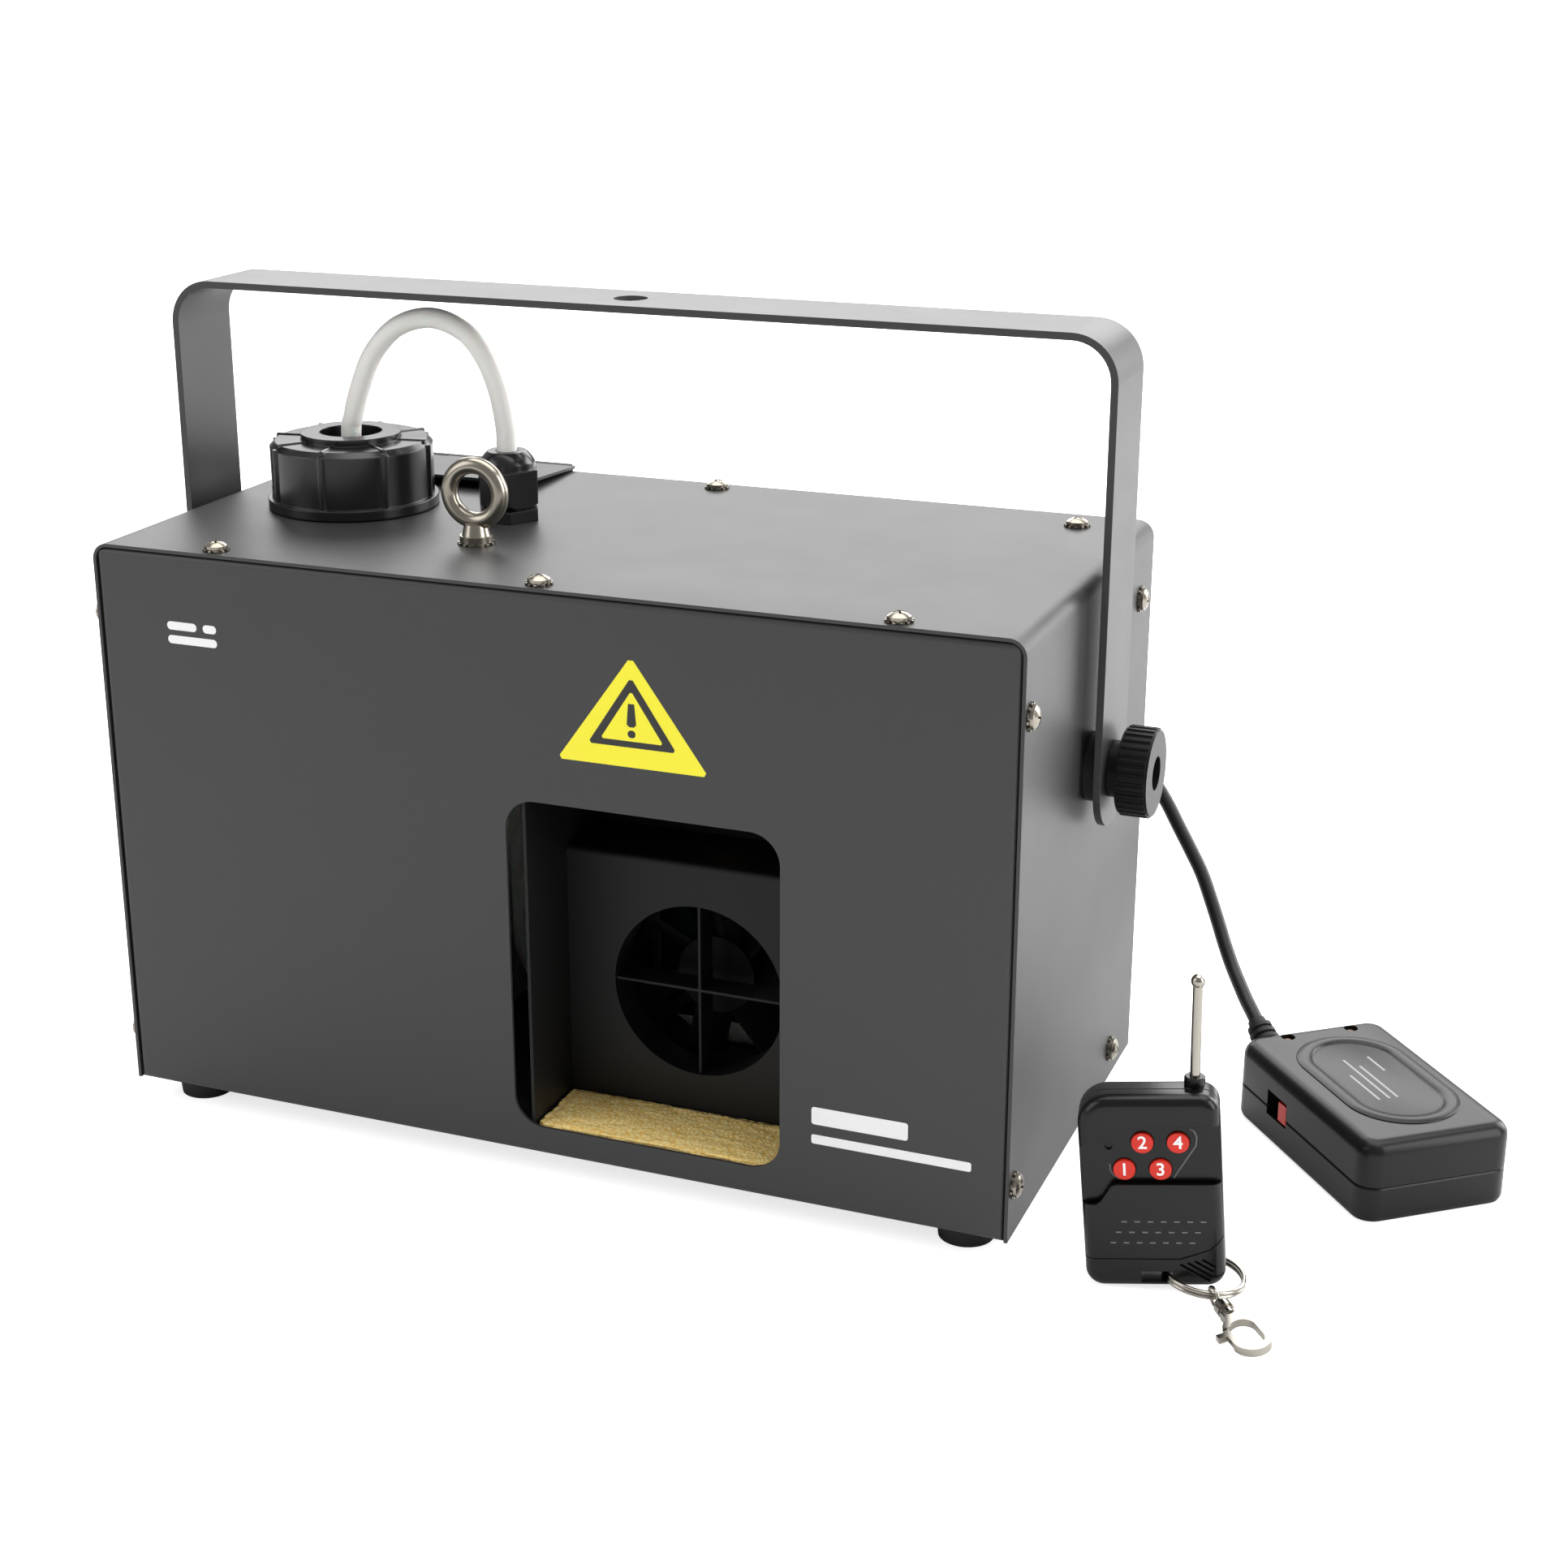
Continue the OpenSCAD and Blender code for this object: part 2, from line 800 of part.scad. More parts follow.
module gland_nut() {
    z0 = 5.3;
    dome_z = 18.7;
    color("#17171a")
        translate([gland_x, gland_y, gland_z])
            difference() {
                union() {
                    translate([0, 0, z0])
                        intersection() {
                            cylinder(r = 12, h = dome_z - z0, $fn = 6);
                            cylinder(r1 = 10.6, r2 = 24, h = dome_z - z0);
                        }
                    intersection() {
                        translate([0, 0, dome_z - 0.5])
                            cylinder(r = 10.1, h = 6.9);
                        translate([0, 0, dome_z - 2.4])
                            sphere(r = 11.2);
                    }
                }
                translate([0, 0, z0 - 1])
                    cylinder(r = 8 + run_gap, h = 12);
                cylinder(r = tube_d/2 + 0.35, h = 40);
            }
}

module eyebolt() {
    color("#b4b0a6")
        translate([eye_x, eye_y, 0]) {
            translate([0, 0, eye_z])
                rotate([90, 0, 0])
                    rotate_extrude()
                        translate([eye_ring_r, 0])
                            circle(eye_wire_r);
            translate([0, 0, top_z + washer_h])
                cylinder(r = 5.8, h = 2.2);
            translate([0, 0, top_z + washer_h + 2.2])
                cylinder(r1 = 5, r2 = 4, h = 4);
            translate([0, 0, top_z - 16])
                cylinder(r = 3, h = 18);
        }
}

module eyebolt_nut() {
    color("#b9b6ae")
        translate([eye_x, eye_y, top_z - sheet_t - 5])
            difference() {
                cylinder(r = 5.8, h = 5, $fn = 6);
                translate([0, 0, -1])
                    cylinder(r = 3.1, h = 7);
            }
}

// ---------- Hatch ----------

hatch_knuckles = [[-158, 20], [-118, 20], [-84, 20]];
hinge_knuckles = [[-137.5, 19], [-97.5, 13]];

module tank_hatch() {
    color("#3b3b3d")
        translate([0, hatch_y, hatch_z])
            rotate([-hatch_tilt, 0, 0])
                difference() {
                    union() {
                        translate([hatch_x0, -hatch_l, 0.2])
                            cube([hatch_x1 - hatch_x0, hatch_l, sheet_t]);
                        for (k = hatch_knuckles)
                            rod_x(k[0], 0, 0, hinge_r, k[1]);
                    }
                    rod_x(hatch_x0 - 1, 0, 0, hinge_pin_r + run_gap, hatch_x1 - hatch_x0 + 2);
                    for (k = hinge_knuckles)
                        translate([k[0] - 0.5, -hinge_r - 0.5, -hinge_r - 1])
                            cube([k[1] + 1, 2*hinge_r + 1, 2*hinge_r + 2]);
                }
}

module hatch_hinge() {
    color("#8d8c88") {
        translate([hatch_x0 + 2, rear_y, hatch_z - 20])
            cube([hatch_x1 - hatch_x0 - 4, 0.9, 16]);
        for (k = hinge_knuckles) {
            rod_x(k[0], hatch_y, hatch_z, hinge_r, k[1]);
            translate([k[0], rear_y, hatch_z - 5])
                cube([k[1], 0.9, 5]);
            translate([k[0], rear_y, hatch_z - 1.5])
                cube([k[1], 1.6, 1.5]);
        }
        rod_x(-157.5, hatch_y, hatch_z, hinge_pin_r, 93);
    }
}

// ---------- Bracket and knobs ----------

module bracket() {
    w = 2*(arm_x + strap_t);
    z0 = pivot_z - 20;
    color("#48494b")
        difference() {
            intersection() {
                translate([0, 0, z0])
                    along_y(pivot_y - strap_w/2, strap_w)
                        difference() {
                            arch(w, strap_top - z0, strap_bend_r);
                            translate([0, -1])
                                arch(w - 2*strap_t, strap_top - z0 - strap_t + 1,
                                    strap_bend_r - strap_t);
                        }
                along_x(-w, 2*w) {
                    translate([pivot_y, z0 + strap_w/2])
                        circle(strap_w/2);
                    translate([pivot_y - strap_w/2, z0 + strap_w/2])
                        square([strap_w, strap_top]);
                }
            }
            translate([0, pivot_y, strap_top - 10])
                cylinder(r = hang_hole_r, h = 20);
            for (s = [-1, 1])
                rod_x(s*arm_x - 5, pivot_y, pivot_z, stud_r + run_gap, 10);
        }
}

module pivot_studs() {
    color("#a8a69f")
        for (s = [0, 1])
            mirror([s, 0, 0]) {
                rod_x(body_w/2 - sheet_t - 5, pivot_y, pivot_z, stud_r, knob_x + 11 - body_w/2 + sheet_t + 5);
                translate([body_w/2 - sheet_t - 5, pivot_y, pivot_z])
                    rotate([0, 90, 0])
                        cylinder(r = 7.5, h = 5, $fn = 6);
            }
}

module pivot_spacers() {
    color("#161617")
        for (s = [0, 1])
            mirror([s, 0, 0])
                difference() {
                    rod_x(body_w/2, pivot_y, pivot_z, 12, spacer_t);
                    rod_x(body_w/2 - 1, pivot_y, pivot_z, stud_r + 0.2, spacer_t + 2);
                }
}

// Clamp knob on the +X side: short round stem and a head with grooves all round
module clamp_knob() {
    grooves = 32;
    x1 = knob_x + knob_stem_l;
    difference() {
        union() {
            rod_x(knob_x + 0.15, pivot_y, pivot_z, 9.8, knob_stem_l + 1);
            rod_x(x1, pivot_y, pivot_z, knob_r - 0.8, knob_head_l);
            rod_x(x1 + 0.8, pivot_y, pivot_z, knob_r, knob_head_l - 1.6);
        }
        translate([0, pivot_y, pivot_z])
            for (k = [0:grooves - 1])
                rotate([360*k/grooves, 0, 0])
                    rod_x(x1 - 1, 0, knob_r + 0.35, 1.05, knob_head_l + 2);
        rod_x(x1 + knob_head_l - 4, pivot_y, pivot_z, 5.9, 5);
        rod_x(knob_x - 1, pivot_y, pivot_z, stud_r + run_gap, 20);
    }
}

module clamp_knob_right() {
    color("#151517")
        clamp_knob();
}

module clamp_knob_left() {
    color("#151517")
        mirror([1, 0, 0])
            clamp_knob();
}

// ---------- Rear fittings ----------

module iec_inlet() {
    color("#121213")
        translate([inlet_x, rear_y, inlet_z]) {
            difference() {
                union() {
                    along_y(0, 2)
                        rounded_rect(50, 26, 4);
                    along_y(-24, 24)
                        rounded_rect(28, 20, 2);
                }
                along_y(-18, 21)
                    rounded_rect(24.4, 16.4, 2);
                for (sx = [-1, 1])
                    rod_y(sx*20, -1, 0, 1.7, 4);
            }
            for (p = [[-7, -2], [0, 2], [7, -2]])
                translate([p[0] - 1, -19, p[1] - 2])
                    cube([2, 17, 4]);
        }
}

module power_switch() {
    color("#141415")
        translate([switch_x, rear_y, switch_z])
            difference() {
                union() {
                    along_y(0, 1.6)
                        rounded_rect(24, 21, 2);
                    along_y(-16, 16)
                        rounded_rect(20, 17, 1);
                }
                along_y(-12, 14)
                    square([17.4, 14.6], center = true);
                rod_x(-9.6, -2, 0, 1.2, 19.2);
            }
}

module power_rocker() {
    color("#b3231c")
        translate([switch_x, rear_y - 2, switch_z])
            rotate([-12, 0, 0]) {
                along_x(-8.4, 16.8)
                    polygon([[-6, -3], [0, -5.6], [5.4, -6.1], [4.4, 0], [5.4, 6.1], [0, 5.6], [-6, 3]]);
                rod_x(-9.4, 0, 0, 1.15, 18.8);
            }
}

module remote_socket() {
    color("#1a1a1c")
        difference() {
            union() {
                rod_y(socket_x, rear_y, socket_z, 13, 2);
                rod_y(socket_x, rear_y - 15, socket_z, 10, 16);
            }
            rod_y(socket_x, rear_y - 10, socket_z, 7.5, 13);
        }
}

module remote_plug() {
    color("#202022") {
        rod_y(socket_x, rear_y - 8, socket_z, 7.2, 11);
        rod_y(socket_x, rear_y + 2.2, socket_z, 9.5, 17.8);
        translate([socket_x, rear_y + 19, socket_z])
            rotate([-90, 0, 0])
                cylinder(r1 = 6, r2 = 3.6, h = 11);
    }
}

// ---------- Receiver ----------

module at_receiver() {
    translate(receiver_at)
        rotate([0, 0, receiver_turn])
            children();
}

module receiver_cable() {
    color("#1b1b1c")
        swept_tube(cable_route, cable_d, 8);
}

module receiver_relief() {
    color("#151516")
        at_receiver()
            translate(relief_at)
                rotate([0, 90 - relief_rise, 0]) {
                    translate([0, 0, -3])
                        cylinder(r = 4.6, h = 5);
                    translate([0, 0, 1.8])
                        cylinder(r1 = 4.5, r2 = 3.3, h = relief_l - 1.8);
                    for (k = [0:3])
                        translate([0, 0, 3.4 + 3*k])
                            cylinder(r = 5.7 - 0.35*k, h = 1.7);
                }
}

// Slot for the slide switch in the long side
module receiver_slot() {
    translate([8, receiver_size[1]/2 - 4, 10.3])
        cube([14, 6, 9.5]);
}

module receiver_base() {
    size = receiver_size;
    wall = 2;
    color("#2c2c2e")
        at_receiver()
            difference() {
                linear_extrude(receiver_split)
                    rounded_rect(size[0], size[1], 7);
                translate([0, 0, wall])
                    linear_extrude(receiver_split)
                        rounded_rect(size[0] - 2*wall, size[1] - 2*wall, 5);
                receiver_slot();
            }
}

module receiver_lid() {
    size = receiver_size;
    wall = 2;
    color("#2c2c2e")
        at_receiver()
            difference() {
                union() {
                    translate([0, 0, receiver_split])
                        linear_extrude(size[2] - 1.5 - receiver_split)
                            rounded_rect(size[0], size[1], 7);
                    translate([0, 0, size[2] - 1.6])
                        linear_extrude(0.9)
                            rounded_rect(size[0] - 3, size[1] - 3, 6);
                    translate([-0.7, -1.2, size[2] - 1])
                        linear_extrude(1)
                            rounded_rect(72, 42, 20.5);
                }
                translate([0, 0, receiver_split - 1])
                    linear_extrude(size[2] - 1.5 - wall - receiver_split + 1)
                        rounded_rect(size[0] - 2*wall, size[1] - 2*wall, 5);
                translate([-0.7, -1.2, size[2] - 0.6])
                    linear_extrude(2)
                        rounded_rect(60, 30, 14.5);
                for (y = [13, -13])
                    translate([40.2, y - 1.2, size[2] - 5])
                        cylinder(r = 2.5, h = 8);
                receiver_slot();
                translate(relief_at)
                    rotate([0, 90 - relief_rise, 0])
                        translate([0, 0, -12])
                            cylinder(r = 4.6, h = 20);
            }
}

module receiver_board() {
    color("#24583c")
        at_receiver() {
            translate([-38, -24, 5])
                cube([72, 44, 1.6]);
            translate([-30, -14, 6])
                cube([18, 15, 11]);
            translate([4, -12, 6])
                cube([12, 10, 3]);
            for (x = [-32, 28], y = [-19, 14])
                translate([x, y, 2])
                    cylinder(r = 2.5, h = 3.5);
        }
}

module receiver_switch() {
    color("#c22a2a")
        at_receiver()
            translate([8.6, receiver_size[1]/2 - 3.4, 11.2])
                cube([5.6, 3.2, 7.2]);
}

// ---------- Remote ----------

module at_fob() {
    translate(fob_at + [0, 0, fob_lift])
        rotate([0, 0, fob_turn])
            rotate([0, -fob_lean, 0])
                children();
}

// The same place without the lean, for the ring and clasp that lie on the surface
module at_fob_foot() {
    translate(fob_at)
        rotate([0, 0, fob_turn])
            children();
}

// Origin at the mouth of the antenna's socket, with +Z along the antenna
module at_antenna() {
    translate(antenna_at)
        rotate([0, antenna_lean, 0])
            children();
}

// Outline of the remote in X and Z, standing on z = 0; the upper left corner is the roundest
module fob_outline(inset) {
    w = fob_w - 2*inset;
    h = fob_h - 2*inset;
    big = 10 - inset;
    translate([0, fob_h/2])
        difference() {
            rounded_rect(w, h, 6 - inset);
            translate([-w/2, h/2 - big])
                difference() {
                    translate([-1, 0])
                        square([big + 1, big + 1]);
                    translate([big, 0])
                        circle(big);
                }
        }
}

module fob_slot_cut() {
    translate([-4.5, -20, fob_slot_z[0]])
        cube([10.1, 40, fob_slot_z[1] - fob_slot_z[0]]);
}

// Upper edge of the sliding cover, in X and Z, raised by lift
module cover_region(lift, grow) {
    translate([0, lift])
        polygon([[-23, 10.9 - grow], [8 - grow, 10.9 - grow], [17.6, 14.2 - grow], [23, 20 - grow], [23, 37.4 + grow],
            [-11 - grow, 37.4 + grow], [-17 - grow, 30 + grow], [-23, 30 + grow]]);
}

module fob_back() {
    color("#1a1a1c")
        at_fob()
            difference() {
                union() {
                    difference() {
                        along_y(0, 5)
                            fob_outline(0);
                        along_y(-1, 6.4)
                            intersection() {
                                fob_outline(fob_wall);
                                translate([-30, 9])
                                    square([60, 60]);
                            }
                    }
                    along_y(4.9, 2.1)
                        fob_outline(1);
                    at_antenna() {
                        translate([0, 0, -40])
                            cylinder(r = 2.9, h = 36);
                        translate([0, 0, -4.5])
                            cylinder(r = 3.4, h = 4.5);
                    }
                }
                at_antenna()
                    translate([0, 0, -38])
                        cylinder(r = antenna_r + run_gap, h = 50);
                fob_slot_cut();
            }
}

module fob_front() {
    color("#1a1a1c")
        at_fob()
            difference() {
                union() {
                    along_y(fob_well, -fob_well)
                        fob_outline(0);
                    along_y(fob_face, fob_well - fob_face + eps)
                        difference() {
                            fob_outline(0);
                            translate([-30, 10.6])
                                square([60, 27]);
                            cover_region(0, 0.3);
                            cover_region(20.3, 0.3);
                            translate([-14, 30])
                                square([60, 28]);
                            translate([-30, 30])
                                square([60, 20.6]);
                        }
                    along_y(fob_face, fob_well - fob_face + eps)
                        intersection() {
                            fob_outline(0);
                            polygon([[9.4, 10], [23, 10], [23, 19.4], [17.8, 13.7], [9.4, 10.8]]);
                        }
                }
                along_y(fob_well + 1.4, 10)
                    intersection() {
                        fob_outline(fob_wall);
                        translate([-30, 9])
                            square([60, 60]);
                    }
                for (b = fob_buttons)
                    rod_y(b[0], -10, b[1], button_r + 0.2, 12);
                rod_y(-13, -10, 50, 1.3, 12);
                fob_slot_cut();
                for (k = [0:3])
                    translate([12.8 + 1.5*k, fob_face, 5.8 + 1.15*k])
                        rotate([0, 33, 0])
                            translate([-5.5 + k, -0.5, -0.45])
                                cube([11 - 2*k, 1, 0.9]);
            }
}

module fob_board() {
    color("#24583c")
        at_fob() {
            translate([-19, 0.2, 12])
                cube([38, 1.4, 17]);
            translate([-19, 0.2, 12])
                cube([27, 1.4, 44]);
            translate([-12, -1.6, 14])
                cube([12, 2, 20]);
            rod_x(-15, 3.1, 20, 1.6, 22);
        }
}

module fob_cover() {
    color("#1d1d1f")
        at_fob() {
            difference() {
                along_y(fob_face, 1.4)
                    intersection() {
                        fob_outline(0);
                        cover_region(0, 0);
                    }
                for (row = [0:2], col = [0:6])
                    translate([-10 + 4.2*col - 1.9*row, fob_face - 0.5, 24 - 3.8*row])
                        cube([1.8, 0.8, 0.5]);
            }
            along_y(fob_face + 1.3, fob_well - fob_face - 1.35)
                intersection() {
                    fob_outline(0);
                    cover_region(0, 0);
                    for (s = [0, 1])
                        mirror([s, 0])
                            translate([20.6, 0])
                                square([5, 60]);
                }
        }
}

module fob_button(k) {
    color("#e0301e")
        at_fob() {
            rod_y(fob_buttons[k][0], -5.3, fob_buttons[k][1], button_r, 3.4);
            rod_y(fob_buttons[k][0], -2.5, fob_buttons[k][1], button_r + 0.8, 0.9);
        }
}

module fob_button_1() {
    fob_button(0);
}

module fob_button_2() {
    fob_button(1);
}

module fob_button_3() {
    fob_button(2);
}

module fob_button_4() {
    fob_button(3);
}

module fob_antenna() {
    color("#c9c7c1")
        at_fob()
            at_antenna() {
                translate([0, 0, -6.5])
                    cylinder(r = antenna_r, h = 38.5);
                translate([0, 0, 32.8])
                    sphere(r = 2.3);
            }
}

module at_ring() {
    at_fob_foot()
        translate(ring_at)
            rotate([0, ring_tilt, 0])
                children();
}

module key_ring() {
    color("#c6c3bb")
        at_ring()
            for (dz = [-0.7, 0.7])
                translate([0, 0, dz])
                    rotate_extrude()
                        translate([ring_r, 0])
                            circle(ring_wire, $fn = 24);
}

// Places children on the split ring, with +X along the clasp
module at_clasp() {
    at_ring()
        rotate([0, 0, -75])
            translate([ring_r + 1, 0, 0])
                rotate([0, 0, 13])
                    rotate([clasp_roll, 0, 0])
                        children();
}

module clasp_outline(r) {
    for (x = [19.5, 25])
        translate([x, 0])
            circle(r);
    translate([19.5, -r])
        square([5.5, 2*r]);
}

module key_clasp() {
    color("#c6c3bb")
        at_clasp() {
            rotate([90, 0, 0])
                rotate_extrude()
                    translate([3.3, 0])
                        circle(0.6, $fn = 24);
            rod_x(3.4, 0, 0, 1.9, 2);
            rod_x(5.2, 0, 0, 2.9, 2.8);
            rod_x(7.8, 0, 0, 2.1, 3);
            translate([0, 0, -1.4])
                linear_extrude(2.8)
                    difference() {
                        union() {
                            translate([9.6, -2.9])
                                square([5, 5.8]);
                            clasp_outline(6.4);
                        }
                        clasp_outline(4.1);
                        translate([17.5, -8])
                            square([8, 6]);
                    }
        }
}

module clasp_trigger() {
    color("#c6c3bb")
        at_clasp()
            translate([0, 0, -1])
                linear_extrude(2) {
                    translate([17.9, -6.2])
                        square([7.2, 1.9]);
                    translate([18.8, -9.2])
                        square([2.2, 3.4]);
                }
}

base_plate();
front_panel();
rear_panel();
cover();
screws();
star_washers();
feet();
chamber_hood();
duct_plate();
duct_ring();
drip_sponge();
fan_frame();
fan_rotor();
heater_block();
nozzle();
thermostat();
standoffs();
pump_body();
pump_plunger();
feed_pipe();
control_board();
tank();
cap_gasket();
tank_cap();
silicone_tube();
gland_body();
gland_locknut();
gland_nut();
eyebolt();
eyebolt_nut();
tank_hatch();
hatch_hinge();
bracket();
pivot_studs();
pivot_spacers();
clamp_knob_right();
clamp_knob_left();
iec_inlet();
power_switch();
power_rocker();
remote_socket();
remote_plug();
receiver_cable();
receiver_relief();
receiver_base();
receiver_lid();
receiver_board();
receiver_switch();
fob_back();
fob_front();
fob_board();
fob_cover();
fob_button_1();
fob_button_2();
fob_button_3();
fob_button_4();
fob_antenna();
key_ring();
key_clasp();
clasp_trigger();
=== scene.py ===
import math

import bmesh
import bpy
from mathutils import Matrix, Vector, noise


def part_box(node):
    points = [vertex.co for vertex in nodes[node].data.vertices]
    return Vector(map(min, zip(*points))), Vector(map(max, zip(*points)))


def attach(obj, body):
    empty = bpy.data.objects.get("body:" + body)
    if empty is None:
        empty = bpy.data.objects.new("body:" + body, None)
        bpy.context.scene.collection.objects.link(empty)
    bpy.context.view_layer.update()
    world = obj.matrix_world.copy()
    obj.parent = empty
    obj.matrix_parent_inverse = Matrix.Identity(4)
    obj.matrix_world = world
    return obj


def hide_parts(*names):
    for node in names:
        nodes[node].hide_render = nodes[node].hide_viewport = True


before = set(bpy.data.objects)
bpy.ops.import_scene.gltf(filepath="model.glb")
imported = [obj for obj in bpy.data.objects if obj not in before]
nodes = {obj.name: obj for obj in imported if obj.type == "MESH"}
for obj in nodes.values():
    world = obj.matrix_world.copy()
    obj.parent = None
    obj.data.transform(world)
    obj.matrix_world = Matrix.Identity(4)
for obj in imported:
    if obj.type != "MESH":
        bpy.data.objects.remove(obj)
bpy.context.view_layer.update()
MM = 0.001


def add(name, data):
    """Puts a mesh, curve, light or camera into the scene as an object."""
    made = bpy.data.objects.new(name, data)
    bpy.context.scene.collection.objects.link(made)
    return made


# ---------- Camera ----------

CAMERA_PLACE = (0.3677, -0.80391, 0.43137)
CAMERA_AZIMUTH, CAMERA_ELEVATION, CAMERA_ROLL = 22.323, 19.093, -0.2816


def make_camera():
    azimuth, elevation, roll = map(math.radians, (CAMERA_AZIMUTH, CAMERA_ELEVATION, CAMERA_ROLL))
    back = Vector((math.sin(azimuth) * math.cos(elevation),
                   -math.cos(azimuth) * math.cos(elevation),
                   math.sin(elevation)))
    right = Vector((math.cos(azimuth), math.sin(azimuth), 0))
    up = back.cross(right)
    right, up = (math.cos(roll) * right + math.sin(roll) * up,
                 -math.sin(roll) * right + math.cos(roll) * up)
    data = bpy.data.cameras.new("camera")
    data.sensor_width = 36
    data.lens = 58.392
    data.shift_x = 0.0351
    data.shift_y = -0.0083
    data.clip_start = 0.05
    data.clip_end = 30
    camera = add("camera", data)
    turn = Matrix((right, up, back)).transposed().to_4x4()
    camera.matrix_world = Matrix.Translation(CAMERA_PLACE) @ turn
    bpy.context.scene.camera = camera


make_camera()


# ---------- Materials ----------

def socket_value(shader, name, value):
    if name in shader.inputs:
        shader.inputs[name].default_value = value


def material(name, color, rough, metal=0.0, specular=0.5, bevel=0.3, grain=None, mottle=0.0,
             coat=0.0, **more):
    """Procedural finish. bevel is a radius in mm, grain is (size of the grain, bump height) in mm."""
    mat = bpy.data.materials.new(name)
    mat.use_nodes = True
    tree = mat.node_tree
    shader = tree.nodes["Principled BSDF"]
    socket_value(shader, "Base Color", (*color, 1))
    socket_value(shader, "Roughness", rough)
    socket_value(shader, "Metallic", metal)
    socket_value(shader, "Specular IOR Level", specular)
    socket_value(shader, "Coat Weight", coat)
    for key, value in more.items():
        socket_value(shader, key.replace("_", " "), value)
    place = tree.nodes.new("ShaderNodeTexCoord")
    if mottle:
        cloud = tree.nodes.new("ShaderNodeTexNoise")
        cloud.inputs["Scale"].default_value = 45
        cloud.inputs["Detail"].default_value = 6
        tree.links.new(place.outputs["Object"], cloud.inputs["Vector"])
        ramp = tree.nodes.new("ShaderNodeMapRange")
        ramp.inputs["To Min"].default_value = max(0.02, rough - mottle)
        ramp.inputs["To Max"].default_value = rough + mottle
        tree.links.new(cloud.outputs["Fac"], ramp.inputs["Value"])
        tree.links.new(ramp.outputs["Result"], shader.inputs["Roughness"])
    normal = None
    if bevel:
        soft = tree.nodes.new("ShaderNodeBevel")
        soft.samples = 4
        soft.inputs["Radius"].default_value = bevel * MM
        normal = soft.outputs["Normal"]
    if grain:
        size, height = grain
        fine = tree.nodes.new("ShaderNodeTexNoise")
        fine.inputs["Scale"].default_value = 1 / (size * MM)
        fine.inputs["Detail"].default_value = 3
        tree.links.new(place.outputs["Object"], fine.inputs["Vector"])
        bump = tree.nodes.new("ShaderNodeBump")
        bump.inputs["Strength"].default_value = 1
        bump.inputs["Distance"].default_value = height * MM
        tree.links.new(fine.outputs["Fac"], bump.inputs["Height"])
        if normal:
            tree.links.new(normal, bump.inputs["Normal"])
        normal = bump.outputs["Normal"]
    if normal:
        tree.links.new(normal, shader.inputs["Normal"])
    return mat


coat_black = material("coat_black", (0.026, 0.026, 0.0265), 0.44, grain=(0.55, 0.012), mottle=0.03)
# Painted shade: the chamber hood, duct plate and duct ring are darker and duller than the outer coat so that
# the inside of the machine reads as in shadow. The black chamber hood stands where there is only shade.
inner_shade_black = material("inner_shade_black", (0.0065, 0.0065, 0.0065), 0.5, specular=0.25, grain=(0.6, 0.012))
strap_black = material("strap_black", (0.028, 0.028, 0.0285), 0.4, grain=(0.55, 0.01), mottle=0.04)
fan_black = material("fan_black", (0.003, 0.003, 0.003), 0.7, specular=0.12, grain=(0.6, 0.01))
nickel = material("nickel", (0.3, 0.275, 0.23), 0.24, metal=1, bevel=0.12, mottle=0.1)
bright = material("bright", (0.34, 0.32, 0.28), 0.16, metal=1, bevel=0.1, mottle=0.06)
zinc = material("zinc", (0.38, 0.38, 0.37), 0.32, metal=1, mottle=0.06)
rubber = material("rubber", (0.012, 0.012, 0.012), 0.6, specular=0.35, bevel=0.5, grain=(0.8, 0.02))
gloss_black = material("gloss_black", (0.006, 0.006, 0.007), 0.22, bevel=0.7, mottle=0.05)
knob_black = material("knob_black", (0.004, 0.0037, 0.0036), 0.38, specular=0.2, bevel=0.25,
                      grain=(0.5, 0.01))
case_black = material("case_black", (0.0065, 0.006, 0.0062), 0.3, specular=0.24, grain=(0.35, 0.01))
fob_black = material("fob_black", (0.003, 0.003, 0.0032), 0.24, specular=0.3, bevel=0.4, grain=(0.3, 0.003))
socket_black = material("socket_black", (0.012, 0.012, 0.012), 0.45, grain=(0.5, 0.01))
cable_black = material("cable_black", (0.008, 0.0078, 0.0078), 0.4, specular=0.3, grain=(0.8, 0.01))
red = material("red", (0.6, 0.022, 0.01), 0.3, specular=0.3, bevel=0.35)
grey_print = material("grey_print", (0.25, 0.25, 0.25), 0.5, bevel=0)
screw_brown = material("screw_brown", (0.11, 0.05, 0.03), 0.4, bevel=0)
# Painted highlight: a light grey that stands in for the light caught by the raised dashes and fine ridges on
# the black remote.
highlight_grey = material("highlight_grey", (0.11, 0.11, 0.11), 0.35, bevel=0)
white_print = material("white_print", (0.82, 0.82, 0.82), 0.5, bevel=0)
yellow_print = material("yellow_print", (0.86, 0.78, 0.012), 0.45, bevel=0, coat=0.2)
black_print = material("black_print", (0.012, 0.012, 0.012), 0.5, bevel=0)
alloy = material("alloy", (0.55, 0.56, 0.57), 0.35, metal=1, grain=(1, 0.02))
brass = material("brass", (0.66, 0.45, 0.17), 0.28, metal=1, mottle=0.06)
copper = material("copper", (0.72, 0.32, 0.16), 0.25, metal=1, mottle=0.06)
board = material("board", (0.015, 0.11, 0.045), 0.4, grain=(2, 0.02))
ceramic = material("ceramic", (0.7, 0.67, 0.6), 0.5, grain=(0.6, 0.01))
pump_blue = material("pump_blue", (0.05, 0.08, 0.13), 0.4, grain=(0.6, 0.01))
milky = material("milky", (0.78, 0.78, 0.74), 0.4, bevel=0.8, Transmission_Weight=0.35, IOR=1.45)
silicone = material("silicone", (0.96, 0.955, 0.91), 0.3, specular=0.45, bevel=0, mottle=0.04,
                    Transmission_Weight=0.12, IOR=1.4, Subsurface_Weight=0.25, Subsurface_Scale=0.002)


